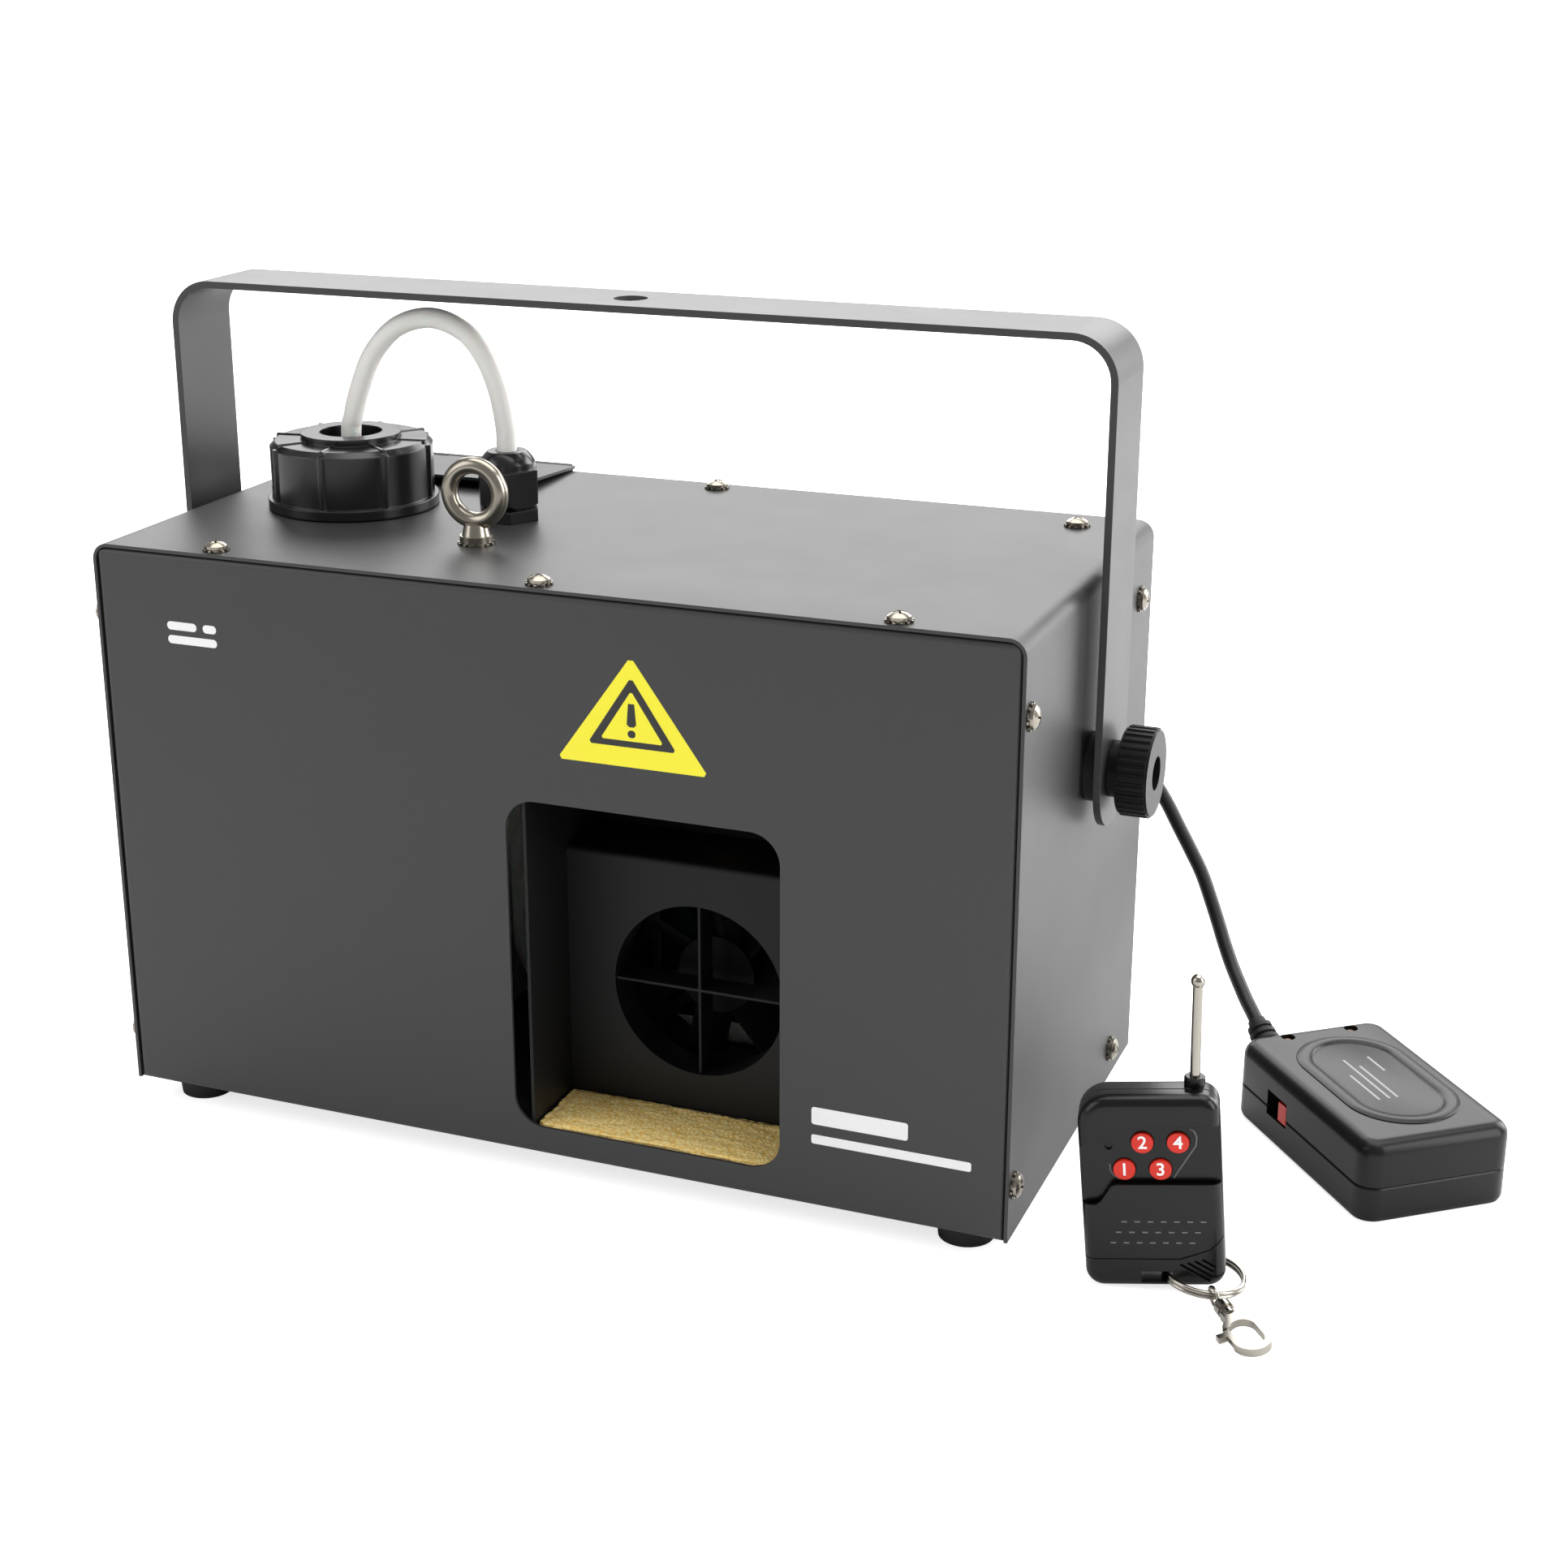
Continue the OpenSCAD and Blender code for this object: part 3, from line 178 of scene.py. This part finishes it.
def sponge_material():
    mat = material("sponge", (0.9, 0.66, 0.26), 0.9, specular=0.1, bevel=0)
    tree = mat.node_tree
    shader = tree.nodes["Principled BSDF"]
    place = tree.nodes.new("ShaderNodeTexCoord")
    cells = tree.nodes.new("ShaderNodeTexVoronoi")
    cells.inputs["Scale"].default_value = 800
    tree.links.new(place.outputs["Object"], cells.inputs["Vector"])
    # Painted shade: the foam runs from pale on the raised cell tops to darker orange in the hollows between
    # them, following the bump.
    ramp = tree.nodes.new("ShaderNodeValToRGB")
    ramp.color_ramp.elements[0].color = (1, 0.86, 0.42, 1)
    ramp.color_ramp.elements[1].color = (0.82, 0.52, 0.13, 1)
    ramp.color_ramp.elements[1].position = 0.85
    tree.links.new(cells.outputs["Distance"], ramp.inputs["Fac"])
    tree.links.new(ramp.outputs["Color"], shader.inputs["Base Color"])
    bump = tree.nodes.new("ShaderNodeBump")
    bump.inputs["Distance"].default_value = 0.3 * MM
    bump.invert = True
    tree.links.new(cells.outputs["Distance"], bump.inputs["Height"])
    tree.links.new(bump.outputs["Normal"], shader.inputs["Normal"])
    return mat


sponge = sponge_material()

FINISHES = {
    coat_black: ["front_panel", "rear_panel", "cover", "base_plate", "tank_hatch", "hatch_hinge"],
    # painted shade for the inside of the machine
    inner_shade_black: ["chamber_hood", "duct_plate", "duct_ring"],
    strap_black: ["bracket"],
    nickel: ["screws", "star_washers", "eyebolt", "eyebolt_nut"],
    bright: ["fob_antenna", "key_ring", "key_clasp", "clasp_trigger"],
    zinc: ["pivot_studs", "standoffs", "pump_plunger"],
    rubber: ["feet", "pivot_spacers", "cap_gasket", "receiver_relief"],
    gloss_black: ["tank_cap", "gland_nut", "gland_body", "gland_locknut"],
    knob_black: ["clamp_knob_right", "clamp_knob_left"],
    case_black: ["receiver_base", "receiver_lid"],
    fob_black: ["fob_back", "fob_front", "fob_cover"],
    socket_black: ["iec_inlet", "power_switch", "remote_socket", "remote_plug"],
    fan_black: ["fan_frame", "fan_rotor"],
    cable_black: ["receiver_cable"],
    red: ["power_rocker", "receiver_switch", "fob_button_1", "fob_button_2", "fob_button_3", "fob_button_4"],
    alloy: ["heater_block"],
    brass: ["nozzle"],
    copper: ["feed_pipe"],
    board: ["control_board", "receiver_board", "fob_board"],
    ceramic: ["thermostat"],
    pump_blue: ["pump_body"],
    milky: ["tank"],
    silicone: ["silicone_tube"],
    sponge: ["drip_sponge"],
}
for finish, names in FINISHES.items():
    for name in names:
        nodes[name].data.materials.clear()
        nodes[name].data.materials.append(finish)


# ---------- Shapes ----------

def smooth_route(points, steps=10):
    """Points along a Catmull-Rom curve through a route given in millimetres, in metres."""
    pts = [Vector(p) * MM for p in points]
    pts = [2 * pts[0] - pts[1]] + pts + [2 * pts[-1] - pts[-2]]
    out = []
    for a, b, c, d in zip(pts, pts[1:], pts[2:], pts[3:]):
        for k in range(steps):
            t = k / steps
            out.append(0.5 * (2 * b + (c - a) * t + (2 * a - 5 * b + 4 * c - d) * t * t
                              + (3 * b - a - 3 * c + d) * t ** 3))
    out.append(pts[-2])
    return out


def tube(name, points, diameter, finish):
    data = bpy.data.curves.new(name, "CURVE")
    data.dimensions = "3D"
    data.bevel_depth = diameter / 2
    data.bevel_resolution = 6
    data.use_fill_caps = True
    line = data.splines.new("POLY")
    line.points.add(len(points) - 1)
    for point, p in zip(line.points, points):
        point.co = (*p, 1)
    data.materials.append(finish)
    return add(name, data)


def circle(r, steps, x=0, y=0):
    return [(x + r * math.cos(math.tau * k / steps), y + r * math.sin(math.tau * k / steps))
            for k in range(steps)]


def layers(rings):
    """Flat rings, each given as (points, height), as rings of points in space."""
    return [[(x, y, z) for x, y in ring] for ring, z in rings]


def rounded(w, h, r, steps=8):
    """Rectangle with round corners round the origin; r is one radius or four, from the upper right one on."""
    radii = r if isinstance(r, (list, tuple)) else (r,) * 4
    out = []
    for (sx, sy), start, c in zip(((1, 1), (-1, 1), (-1, -1), (1, -1)), (0, 90, 180, 270), radii):
        for k in range(steps + 1):
            a = math.radians(start + 90 * k / steps)
            out.append((sx * (w / 2 - c) + c * math.cos(a), sy * (h / 2 - c) + c * math.sin(a)))
    return out


def skin(rings):
    """Closed surface through rings of equally many points, capped at both ends, as a loose mesh object."""
    n = len(rings[0])
    verts = [Vector(p) * MM for ring in rings for p in ring]
    faces = [list(range(n - 1, -1, -1)), [(len(rings) - 1) * n + k for k in range(n)]]
    for i in range(len(rings) - 1):
        for k in range(n):
            after = (k + 1) % n
            faces.append([i * n + k, i * n + after, (i + 1) * n + after, (i + 1) * n + k])
    data = bpy.data.meshes.new("skin")
    data.from_pydata(verts, [], faces)
    tidy = bmesh.new()
    tidy.from_mesh(data)
    bmesh.ops.recalc_face_normals(tidy, faces=tidy.faces)
    tidy.to_mesh(data)
    tidy.free()
    return add("skin", data)


def block(low, high):
    (x0, y0, z0), (x1, y1, z1) = low, high
    return skin([[(x0, y0, z), (x1, y0, z), (x1, y1, z), (x0, y1, z)] for z in (z0, z1)])


def prism(outline, y0, y1):
    """Block with an outline in X and Z, from y0 to y1."""
    return skin([[(x, y, z) for x, z in outline] for y in (y0, y1)])


def drum(x, z, r, y0, y1):
    return prism(circle(r, 32, x, z), y0, y1)


def carve(body, cutters, name, place, finish, ride_on, replaces=(), within=None):
    """Cuts loose shapes out of a loose shape, or of what it shares with within, and puts it on a body."""
    if within:
        cutters = [within, *cutters]
    for cutter in cutters:
        step = body.modifiers.new("cut", "BOOLEAN")
        step.operation = "INTERSECT" if cutter == within else "DIFFERENCE"
        step.solver = "EXACT"
        step.object = cutter
    bpy.context.view_layer.update()
    mesh = bpy.data.meshes.new_from_object(body.evaluated_get(bpy.context.evaluated_depsgraph_get()))
    for old in (body, *cutters):
        bpy.data.objects.remove(old)
    mesh.transform(place)
    mesh.name = name
    mesh.materials.clear()
    mesh.materials.append(finish)
    mesh.polygons.foreach_set("use_smooth", [True] * len(mesh.polygons))
    mesh.set_sharp_from_angle(angle=math.radians(32))
    made = add(name, mesh)
    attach(made, ride_on)
    if replaces:
        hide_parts(*replaces)
    return made


# ---------- Receiver ----------

# Millimetres, with the case's centre over the origin and its underside at 0.
RECEIVER = Matrix.Translation((0.2678, 0.0424, 0)) @ Matrix.Rotation(math.radians(129), 4, "Z")
RECEIVER_L, RECEIVER_W = 93, 58
RECEIVER_CORNER = 7.5
RECEIVER_SPLIT = 13.2
RECEIVER_SHOULDER = 24.6
RECEIVER_SCREWS = [(40.2, 11.8), (40.2, -14.2)]
TRACK_AT = (-0.7, -1.2)
TRACK_L, TRACK_W = 72, 42
PRINT_Z = 30.22
PRINT_LINES = [(-16, 6.2, 20), (-16, 2.2, 32), (-16, -1, 26), (4, -7.6, 12)]


def receiver_case(profile):
    """The case's outline drawn in by each inset of a profile of (height, inset)."""
    return skin(layers([(rounded(RECEIVER_L - 2 * inset, RECEIVER_W - 2 * inset,
                                 max(RECEIVER_CORNER - inset, 2.6)), z) for z, inset in profile]))


def receiver_cutters():
    """The room for the board and the window for the switch."""
    return [block((-42, -24.5, 2.2), (42, 24.5, 27)), block((8, 20, 10.3), (22, 31, 19.8))]


def receiver_part(body, cutters, name, finish=case_black, replaces=()):
    return carve(body, cutters, name, RECEIVER, finish, "housing", replaces)


def make_receiver():
    foot = [(0, 1.8), (0.5, 0.8), (1.8, 0.1), (3, 0), (RECEIVER_SPLIT - 0.6, 0), (RECEIVER_SPLIT - 0.05, 0.5)]
    pieces = [receiver_part(receiver_case(foot), receiver_cutters(), "receiver_base_shell",
                            replaces=("receiver_base",))]
    crown = [(RECEIVER_SPLIT, 0.5), (RECEIVER_SPLIT + 0.5, 0), (RECEIVER_SHOULDER, 0)]
    for k in range(1, 11):
        a = math.radians(9 * k)
        crown.append((RECEIVER_SHOULDER + 5.4 * math.sin(a), 5.2 * (1 - math.cos(a))))
    holes = [skin(layers([(circle(2.6, 24, x, y), z) for z in (27.6, 33)])) for x, y in RECEIVER_SCREWS]
    pieces.append(receiver_part(receiver_case(crown), receiver_cutters() + holes, "receiver_lid_shell",
                                replaces=("receiver_lid",)))
    track = [(29.7, 0), (30.3, 0.3), (30.75, 1.3), (30.98, 2.8), (30.8, 4.4), (30.45, 5.4), (30.05, 5.9),
             (30.15, 6.3), (30.25, 6.8)]
    rings = []
    for z, inset in track:
        ring = rounded(TRACK_L - 2 * inset, TRACK_W - 2 * inset, TRACK_W / 2 - 0.1 - inset, 14)
        rings.append(([(x + TRACK_AT[0], y + TRACK_AT[1]) for x, y in ring], z))
    pieces.append(receiver_part(skin(layers(rings)), [], "receiver_track"))
    for k, (x, y, length) in enumerate(PRINT_LINES):
        line = block((x, y, PRINT_Z), (x + length, y + 0.9, PRINT_Z + 0.06))
        pieces.append(receiver_part(line, [], f"receiver_print_{k + 1}", grey_print))
    for k, (x, y) in enumerate(RECEIVER_SCREWS):
        head = [(circle(r, 20, x, y), z) for z, r in ((27.5, 2.1), (28.3, 2), (28.8, 1.4), (29, 0.5))]
        pieces.append(receiver_part(skin(layers(head)), [], f"receiver_screw_{k + 1}", screw_brown))
    return pieces


receiver_pieces = make_receiver()


# ---------- Receiver's cable and fluid tube ----------

CABLE_D, FLUID_TUBE_D = 5.5 * MM, 7.5 * MM
CABLE_ROUTE = [(126, 113, 112), (126, 121, 112), (127.5, 129, 112), (132.5, 135, 111.3),
               (140, 138.1, 109.5), (148.5, 138.6, 106.5), (156.5, 137.5, 102.8), (163.5, 135, 98.2),
               (169.5, 132.3, 91.5), (175, 129.5, 83.8), (181, 125.8, 76), (187, 121.3, 68.3),
               (192, 116.3, 60.3), (196.4, 111.3, 53), (200.6, 105.8, 46.3), (204.9, 100.3, 40.3),
               (209.2, 94.4, 35.8), (213.2, 89, 31.9), (216.2, 85, 29.6), (218.8, 81.5, 27.5)]
INSIDE_RELIEF = [(223.4, 75.8, 23.3), (228, 70.1, 19.1), (230.7, 66.8, 16.6)]
cable_line = smooth_route(CABLE_ROUTE + INSIDE_RELIEF)
cable = tube("receiver_lead", cable_line, CABLE_D, cable_black)
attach(cable, "housing")
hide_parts("receiver_cable")

TUBE_ROUTE = [(-114, 3, 22), (-114, 3, 60), (-114, 3, 120), (-114, 3, 180), (-114, 3, 238),
              (-112.5, 3, 249), (-109, 3, 260), (-103, 3, 272.5), (-92.5, 3, 283), (-78.5, 3, 287),
              (-65.5, 3, 283), (-57.5, 3, 274.5), (-52.5, 3, 263), (-50, 3, 251), (-49.6, 3, 241),
              (-49.6, 3, 200), (-49.6, 3, 130), (-49.6, 3, 60), (-48, 4, 44), (-42, 7, 31),
              (-31, 11, 23), (-14, 14, 20), (20, 14, 20), (56, 14, 21), (74, 13, 26), (88, 11.5, 35),
              (96, 10.5, 39), (104, 10, 40)]
fluid_tube = tube("fluid_tube", smooth_route(TUBE_ROUTE), FLUID_TUBE_D, silicone)
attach(fluid_tube, "housing")
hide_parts("silicone_tube")


# ---------- Sponge ----------

def make_sponge():
    """Foam strip in the CAD strip's box, dented inwards so that it stays inside it."""
    (x0, y0, z0), (x1, y1, z1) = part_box("drip_sponge")
    shape = bmesh.new()
    bmesh.ops.create_cube(shape, size=1)
    bmesh.ops.subdivide_edges(shape, edges=shape.edges[:], cuts=40, use_grid_fill=True)
    centre = Vector(((x0 + x1) / 2, (y0 + y1) / 2, (z0 + z1) / 2))
    size = Vector((x1 - x0, y1 - y0, z1 - z0))
    for vert in shape.verts:
        away = vert.co.copy()
        place = Vector([c + a * d for c, a, d in zip(centre, away, size)])
        dent = 0.35 + 0.65 * noise.noise(place * 420) + 0.5 * noise.noise(place * 1300)
        edge = sum(abs(a) > 0.499 for a in away) - 1
        dent = max(0.0, dent * 0.9 + 0.5 * edge) * MM
        for axis in range(3):
            if abs(away[axis]) > 0.499:
                place[axis] -= math.copysign(dent, away[axis])
        vert.co = place
    data = bpy.data.meshes.new("drip_sponge_foam")
    shape.to_mesh(data)
    shape.free()
    data.polygons.foreach_set("use_smooth", [True] * len(data.polygons))
    data.materials.append(sponge)
    made = add("drip_sponge_foam", data)
    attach(made, "housing")
    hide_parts("drip_sponge")


make_sponge()


# ---------- Printed marks on the front ----------

PRINT_DEPTH = 0.08


def print_mark(name, outline, finish, y=-83.05):
    """Flat print on the front panel from an outline in X and Z, in millimetres."""
    n = len(outline)
    verts = [(x * MM, y * MM, z * MM) for x, z in outline]
    verts += [(x * MM, (y + PRINT_DEPTH) * MM, z * MM) for x, z in outline]
    faces = [list(range(n)), list(range(2 * n - 1, n - 1, -1))]
    faces += [[i, n + i, n + (i + 1) % n, (i + 1) % n] for i in range(n)]
    data = bpy.data.meshes.new(name)
    data.from_pydata(verts, [], faces)
    data.materials.append(finish)
    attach(add(name, data), "housing")


def round_rect(x, z, w, h, r, steps=6):
    out = []
    for cx, cz, start in ((x + w - r, z + h - r, 0), (x + r, z + h - r, 90),
                          (x + r, z + r, 180), (x + w - r, z + r, 270)):
        for k in range(steps + 1):
            a = math.radians(start + 90 * k / steps)
            out.append((cx + r * math.cos(a), cz + r * math.sin(a)))
    return out


def cut_triangle(apex, left, right, cut):
    """Triangle with its corners cut off."""
    corners = [Vector(apex), Vector(left), Vector(right)]
    out = []
    for i, c in enumerate(corners):
        for other in (corners[i - 1], corners[(i + 1) % 3]):
            out.append(tuple(c + (other - c).normalized() * cut))
    return out


print_mark("mark_upper_bar", round_rect(-141, 187.4, 12, 3, 1.4), white_print)
print_mark("mark_middle_bar", round_rect(-141, 182.4, 20, 3, 1.4), white_print)
print_mark("mark_dot", round_rect(-126.4, 187.4, 5.4, 3, 1.4), white_print)
print_mark("caution_sticker", cut_triangle((37.3, 196.5), (9.9, 158.4), (64.6, 158.4), 1.6), yellow_print)
print_mark("caution_triangle", cut_triangle((37.3, 189.5), (21.3, 165.3), (53.3, 165.3), 1.2),
           black_print, y=-83.1)
print_mark("caution_inner", cut_triangle((37.3, 184.8), (26, 167.5), (48.6, 167.5), 0.8),
           yellow_print, y=-83.15)
print_mark("caution_bar", [(36.2, 180.4), (35.6, 173.2), (36.5, 172.4), (38.1, 172.4), (39, 173.2),
                           (38.4, 180.4)], black_print, y=-83.2)
print_mark("caution_dot", round_rect(35.9, 168.7, 2.8, 2.6, 1.25), black_print, y=-83.2)
print_mark("mark_lower_block", round_rect(101, 40, 34, 6.4, 1), white_print)
print_mark("mark_lower_line", round_rect(101, 32.8, 56, 3.4, 0.8), white_print)


# ---------- Remote ----------

# Millimetres: X across, Z up from the foot, and the front face towards -Y.
FOB = (Matrix.Translation((0.2183, -0.0736, 0.0017)) @ Matrix.Rotation(math.radians(11.5), 4, "Z")
       @ Matrix.Rotation(math.radians(-5.3), 4, "Y"))
FOB_W, FOB_H = 45, 68
ANTENNA = FOB @ Matrix.Translation((0.015, 0.0034, 0.071)) @ Matrix.Rotation(math.radians(4), 4, "Y")
BUTTONS = [(-8.3, 41.9), (-2.2, 51.4), (3.2, 41.9), (9.1, 51.4)]
COVER_EDGE = [(-24, 10.9), (8, 10.9), (17.6, 14.2), (24, 20), (24, 37.4), (-11, 37.4), (-12.6, 36.9),
              (-16.2, 31.4), (-17.8, 30.3), (-24, 30)]
RECESS = [(-24, 10.6), (8.2, 10.6), (17.8, 13.9), (24, 19.6), (24, 57.7), (-12.4, 57.7), (-17.6, 50.4),
          (-24, 50.4)]
BOARD_ROOM = [(-20.5, 9), (20.5, 9), (20.5, 58), (12, 60), (-12, 60), (-20.5, 52)]


def fob_ring(y, inset):
    """The remote's outline at a depth, drawn in by an inset, with one corner rounder than the others."""
    corner = max(6 - inset, 1.5)
    outline = rounded(FOB_W - 2 * inset, FOB_H - 2 * inset, (corner, 10 - inset, corner, corner))
    return [(x, y, z + FOB_H / 2) for x, z in outline]


def front_skin(shrink=0.0):
    edge = [(0.0, 0.3), (-0.25, shrink), (-3.2, shrink)]
    for k in range(1, 9):
        a = math.radians(11.25 * k)
        edge.append((-3.2 - 3.8 * math.sin(a), shrink + 3.6 * (1 - math.cos(a))))
    return skin([fob_ring(y, inset) for y, inset in edge])


def fob_slot():
    """The slot that the key ring goes through."""
    return block((-4.5, -20, 2), (5.6, 20, 6.2))


def grip_groove(k):
    """One of the slanting grooves at the lower right corner."""
    x, z, half = 12.8 + 1.5 * k, 5.8 + 1.15 * k, 5.5 - k
    c, s = math.cos(math.radians(33)), math.sin(math.radians(33))
    corners = ((-half, -0.4), (half, -0.4), (half, 0.4), (-half, 0.4))
    return prism([(x + a * c + b * s, z - a * s + b * c) for a, b in corners], -12, -5.6)


def make_fob_case():
    edge = [(6.98, 1.1), (6.6, 0.5), (5.8, 0.1), (5, 0), (0.25, 0), (0.02, 0.3)]
    carve(skin([fob_ring(y, inset) for y, inset in edge]),
          [fob_slot(), block((-20.5, -1, 9), (10, 1.5, 60)), block((9, -1, 9), (20.5, 1.5, 30.5))],
          "fob_back_shell", FOB, fob_black, "remote", ("fob_back",))
    cuts = [prism(RECESS, -12, -4.25), fob_slot(), drum(-13, 50, 1.3, -12, -3.4), prism(BOARD_ROOM, -2.8, 1)]
    cuts += [drum(x, z, 3.75, -12, -2) for x, z in BUTTONS]
    cuts += [grip_groove(k) for k in range(4)]
    carve(front_skin(), cuts, "fob_front_shell", FOB, fob_black, "remote", ("fob_front",))


def make_fob_cover():
    """Sliding cover, hollow behind so that it clears the buttons."""
    carve(front_skin(0.02), [block((-20.5, -5.6, -1), (20.5, -4, 60))], "fob_cover_shell", FOB, fob_black,
          "remote_cover", ("fob_cover",), within=prism(COVER_EDGE, -12, -4.3))


def make_antenna_socket():
    socket = [(circle(r, 28), z) for z, r in ((-38, 2.6), (-5, 2.9), (-4.5, 3.35), (-0.4, 3.4), (-0.02, 3))]
    bore = [(circle(1.66, 28), z) for z in (-37.4, 2)]
    carve(skin(layers(socket)), [skin(layers(bore))], "fob_antenna_socket", ANTENNA, fob_black, "remote")


def make_fob_dashes():
    """Three staggered rows of raised dashes on the cover, painted light grey as a highlight."""
    for row in range(3):
        for col in range(7):
            x, z = -10 + 4.2 * col - 1.9 * row, 24 - 3.8 * row
            carve(block((x, -7.1, z), (x + 1.8, -6.9, z + 0.5)), [], f"fob_dash_{row + 1}_{col + 1}", FOB,
                  highlight_grey, "remote_cover")


def fob_ridge(name, path):
    """Fine raised line in the recess beside the buttons, painted light grey as a highlight."""
    made = tube(name, [FOB @ (Vector((x, -4.2, z)) * MM) for x, z in path], 0.5 * MM, highlight_grey)
    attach(made, "remote")


make_fob_case()
make_fob_cover()
make_antenna_socket()
make_fob_dashes()
fob_ridge("fob_ridge_right", [(12.9, 56), (14.3, 55), (15, 53), (14.6, 50), (7.2, 38.6)])
fob_ridge("fob_ridge_left", [(-12.9, 43.6), (-12.8, 41.4), (-11.8, 39.5), (-10, 38.2)])


# ---------- Numbers on the remote's buttons ----------

def numeral(k):
    data = bpy.data.curves.new(f"numeral_{k + 1}", "FONT")
    data.body = str(k + 1)
    data.size = 6.2 * MM
    data.align_x = "CENTER"
    data.align_y = "CENTER"
    data.extrude = 0.03 * MM
    data.offset = 0.08 * MM
    shape = add(f"numeral_{k + 1}_shape", data)
    x, z = BUTTONS[k]
    shape.matrix_world = (FOB @ Matrix.Translation((x * MM, -5.31 * MM, z * MM))
                          @ Matrix.Rotation(math.radians(90), 4, "X"))
    bpy.context.view_layer.update()
    mesh = bpy.data.meshes.new_from_object(shape.evaluated_get(bpy.context.evaluated_depsgraph_get()))
    mesh.transform(shape.matrix_world)
    bpy.data.objects.remove(shape)
    mesh.materials.clear()
    mesh.materials.append(white_print)
    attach(add(f"numeral_{k + 1}", mesh), f"button_{k + 1}")


for k in range(4):
    numeral(k)


# ---------- Studio ----------

def make_floor():
    """Plain white floor, which glows a little for the camera only, so that it meets the white background."""
    data = bpy.data.meshes.new("floor")
    reach = 30
    corners = [(-reach, -reach, 0), (reach, -reach, 0), (reach, reach, 0), (-reach, reach, 0)]
    data.from_pydata(corners, [], [[0, 1, 2, 3]])
    mat = material("floor", (0.85, 0.85, 0.85), 0.6, specular=0.1, bevel=0)
    tree = mat.node_tree
    shader = tree.nodes["Principled BSDF"]
    socket_value(shader, "Emission Color", (1, 1, 1, 1))
    path = tree.nodes.new("ShaderNodeLightPath")
    glow = tree.nodes.new("ShaderNodeMath")
    glow.operation = "MULTIPLY"
    glow.inputs[1].default_value = 0.72
    tree.links.new(path.outputs["Is Camera Ray"], glow.inputs[0])
    tree.links.new(glow.outputs[0], shader.inputs["Emission Strength"])
    data.materials.append(mat)
    add("floor", data)


def soft_light(name, place, aim, size, power):
    data = bpy.data.lights.new(name, "AREA")
    data.shape = "RECTANGLE"
    data.size, data.size_y = size
    data.energy = power
    light = add(name, data)
    light.location = place
    light.rotation_mode = "QUATERNION"
    light.rotation_quaternion = (Vector(aim) - Vector(place)).to_track_quat("-Z", "Y")


def make_world():
    world = bpy.data.worlds.new("studio")
    bpy.context.scene.world = world
    world.use_nodes = True
    tree = world.node_tree
    base = tree.nodes["Background"]
    base.inputs["Color"].default_value = (1, 1, 1, 1)
    base.inputs["Strength"].default_value = 0.45
    seen = tree.nodes.new("ShaderNodeBackground")
    seen.inputs["Color"].default_value = (1, 1, 1, 1)
    seen.inputs["Strength"].default_value = 1
    path = tree.nodes.new("ShaderNodeLightPath")
    mix = tree.nodes.new("ShaderNodeMixShader")
    tree.links.new(path.outputs["Is Camera Ray"], mix.inputs["Fac"])
    tree.links.new(base.outputs["Background"], mix.inputs[1])
    tree.links.new(seen.outputs["Background"], mix.inputs[2])
    tree.links.new(mix.outputs["Shader"], tree.nodes["World Output"].inputs["Surface"])


make_floor()
make_world()
soft_light("top_box", (0.1, 0.25, 1.9), (0.05, 0, 0.1), (2.2, 1.6), 38)
soft_light("left_box", (-1.5, -1.3, 1.1), (0, 0, 0.12), (1.2, 1.6), 14)
soft_light("right_box", (1.9, -0.2, 0.9), (0.1, 0, 0.1), (0.9, 1.6), 26)
soft_light("back_box", (-0.5, 1.9, 1.35), (0, 0, 0.2), (2.6, 1.2), 42)
soft_light("back_right_box", (1.25, 1.35, 0.75), (0.17, 0, 0.15), (0.9, 1.3), 26)
bpy.context.scene.view_settings.view_transform = "Standard"
bpy.context.scene.view_settings.look = "None"
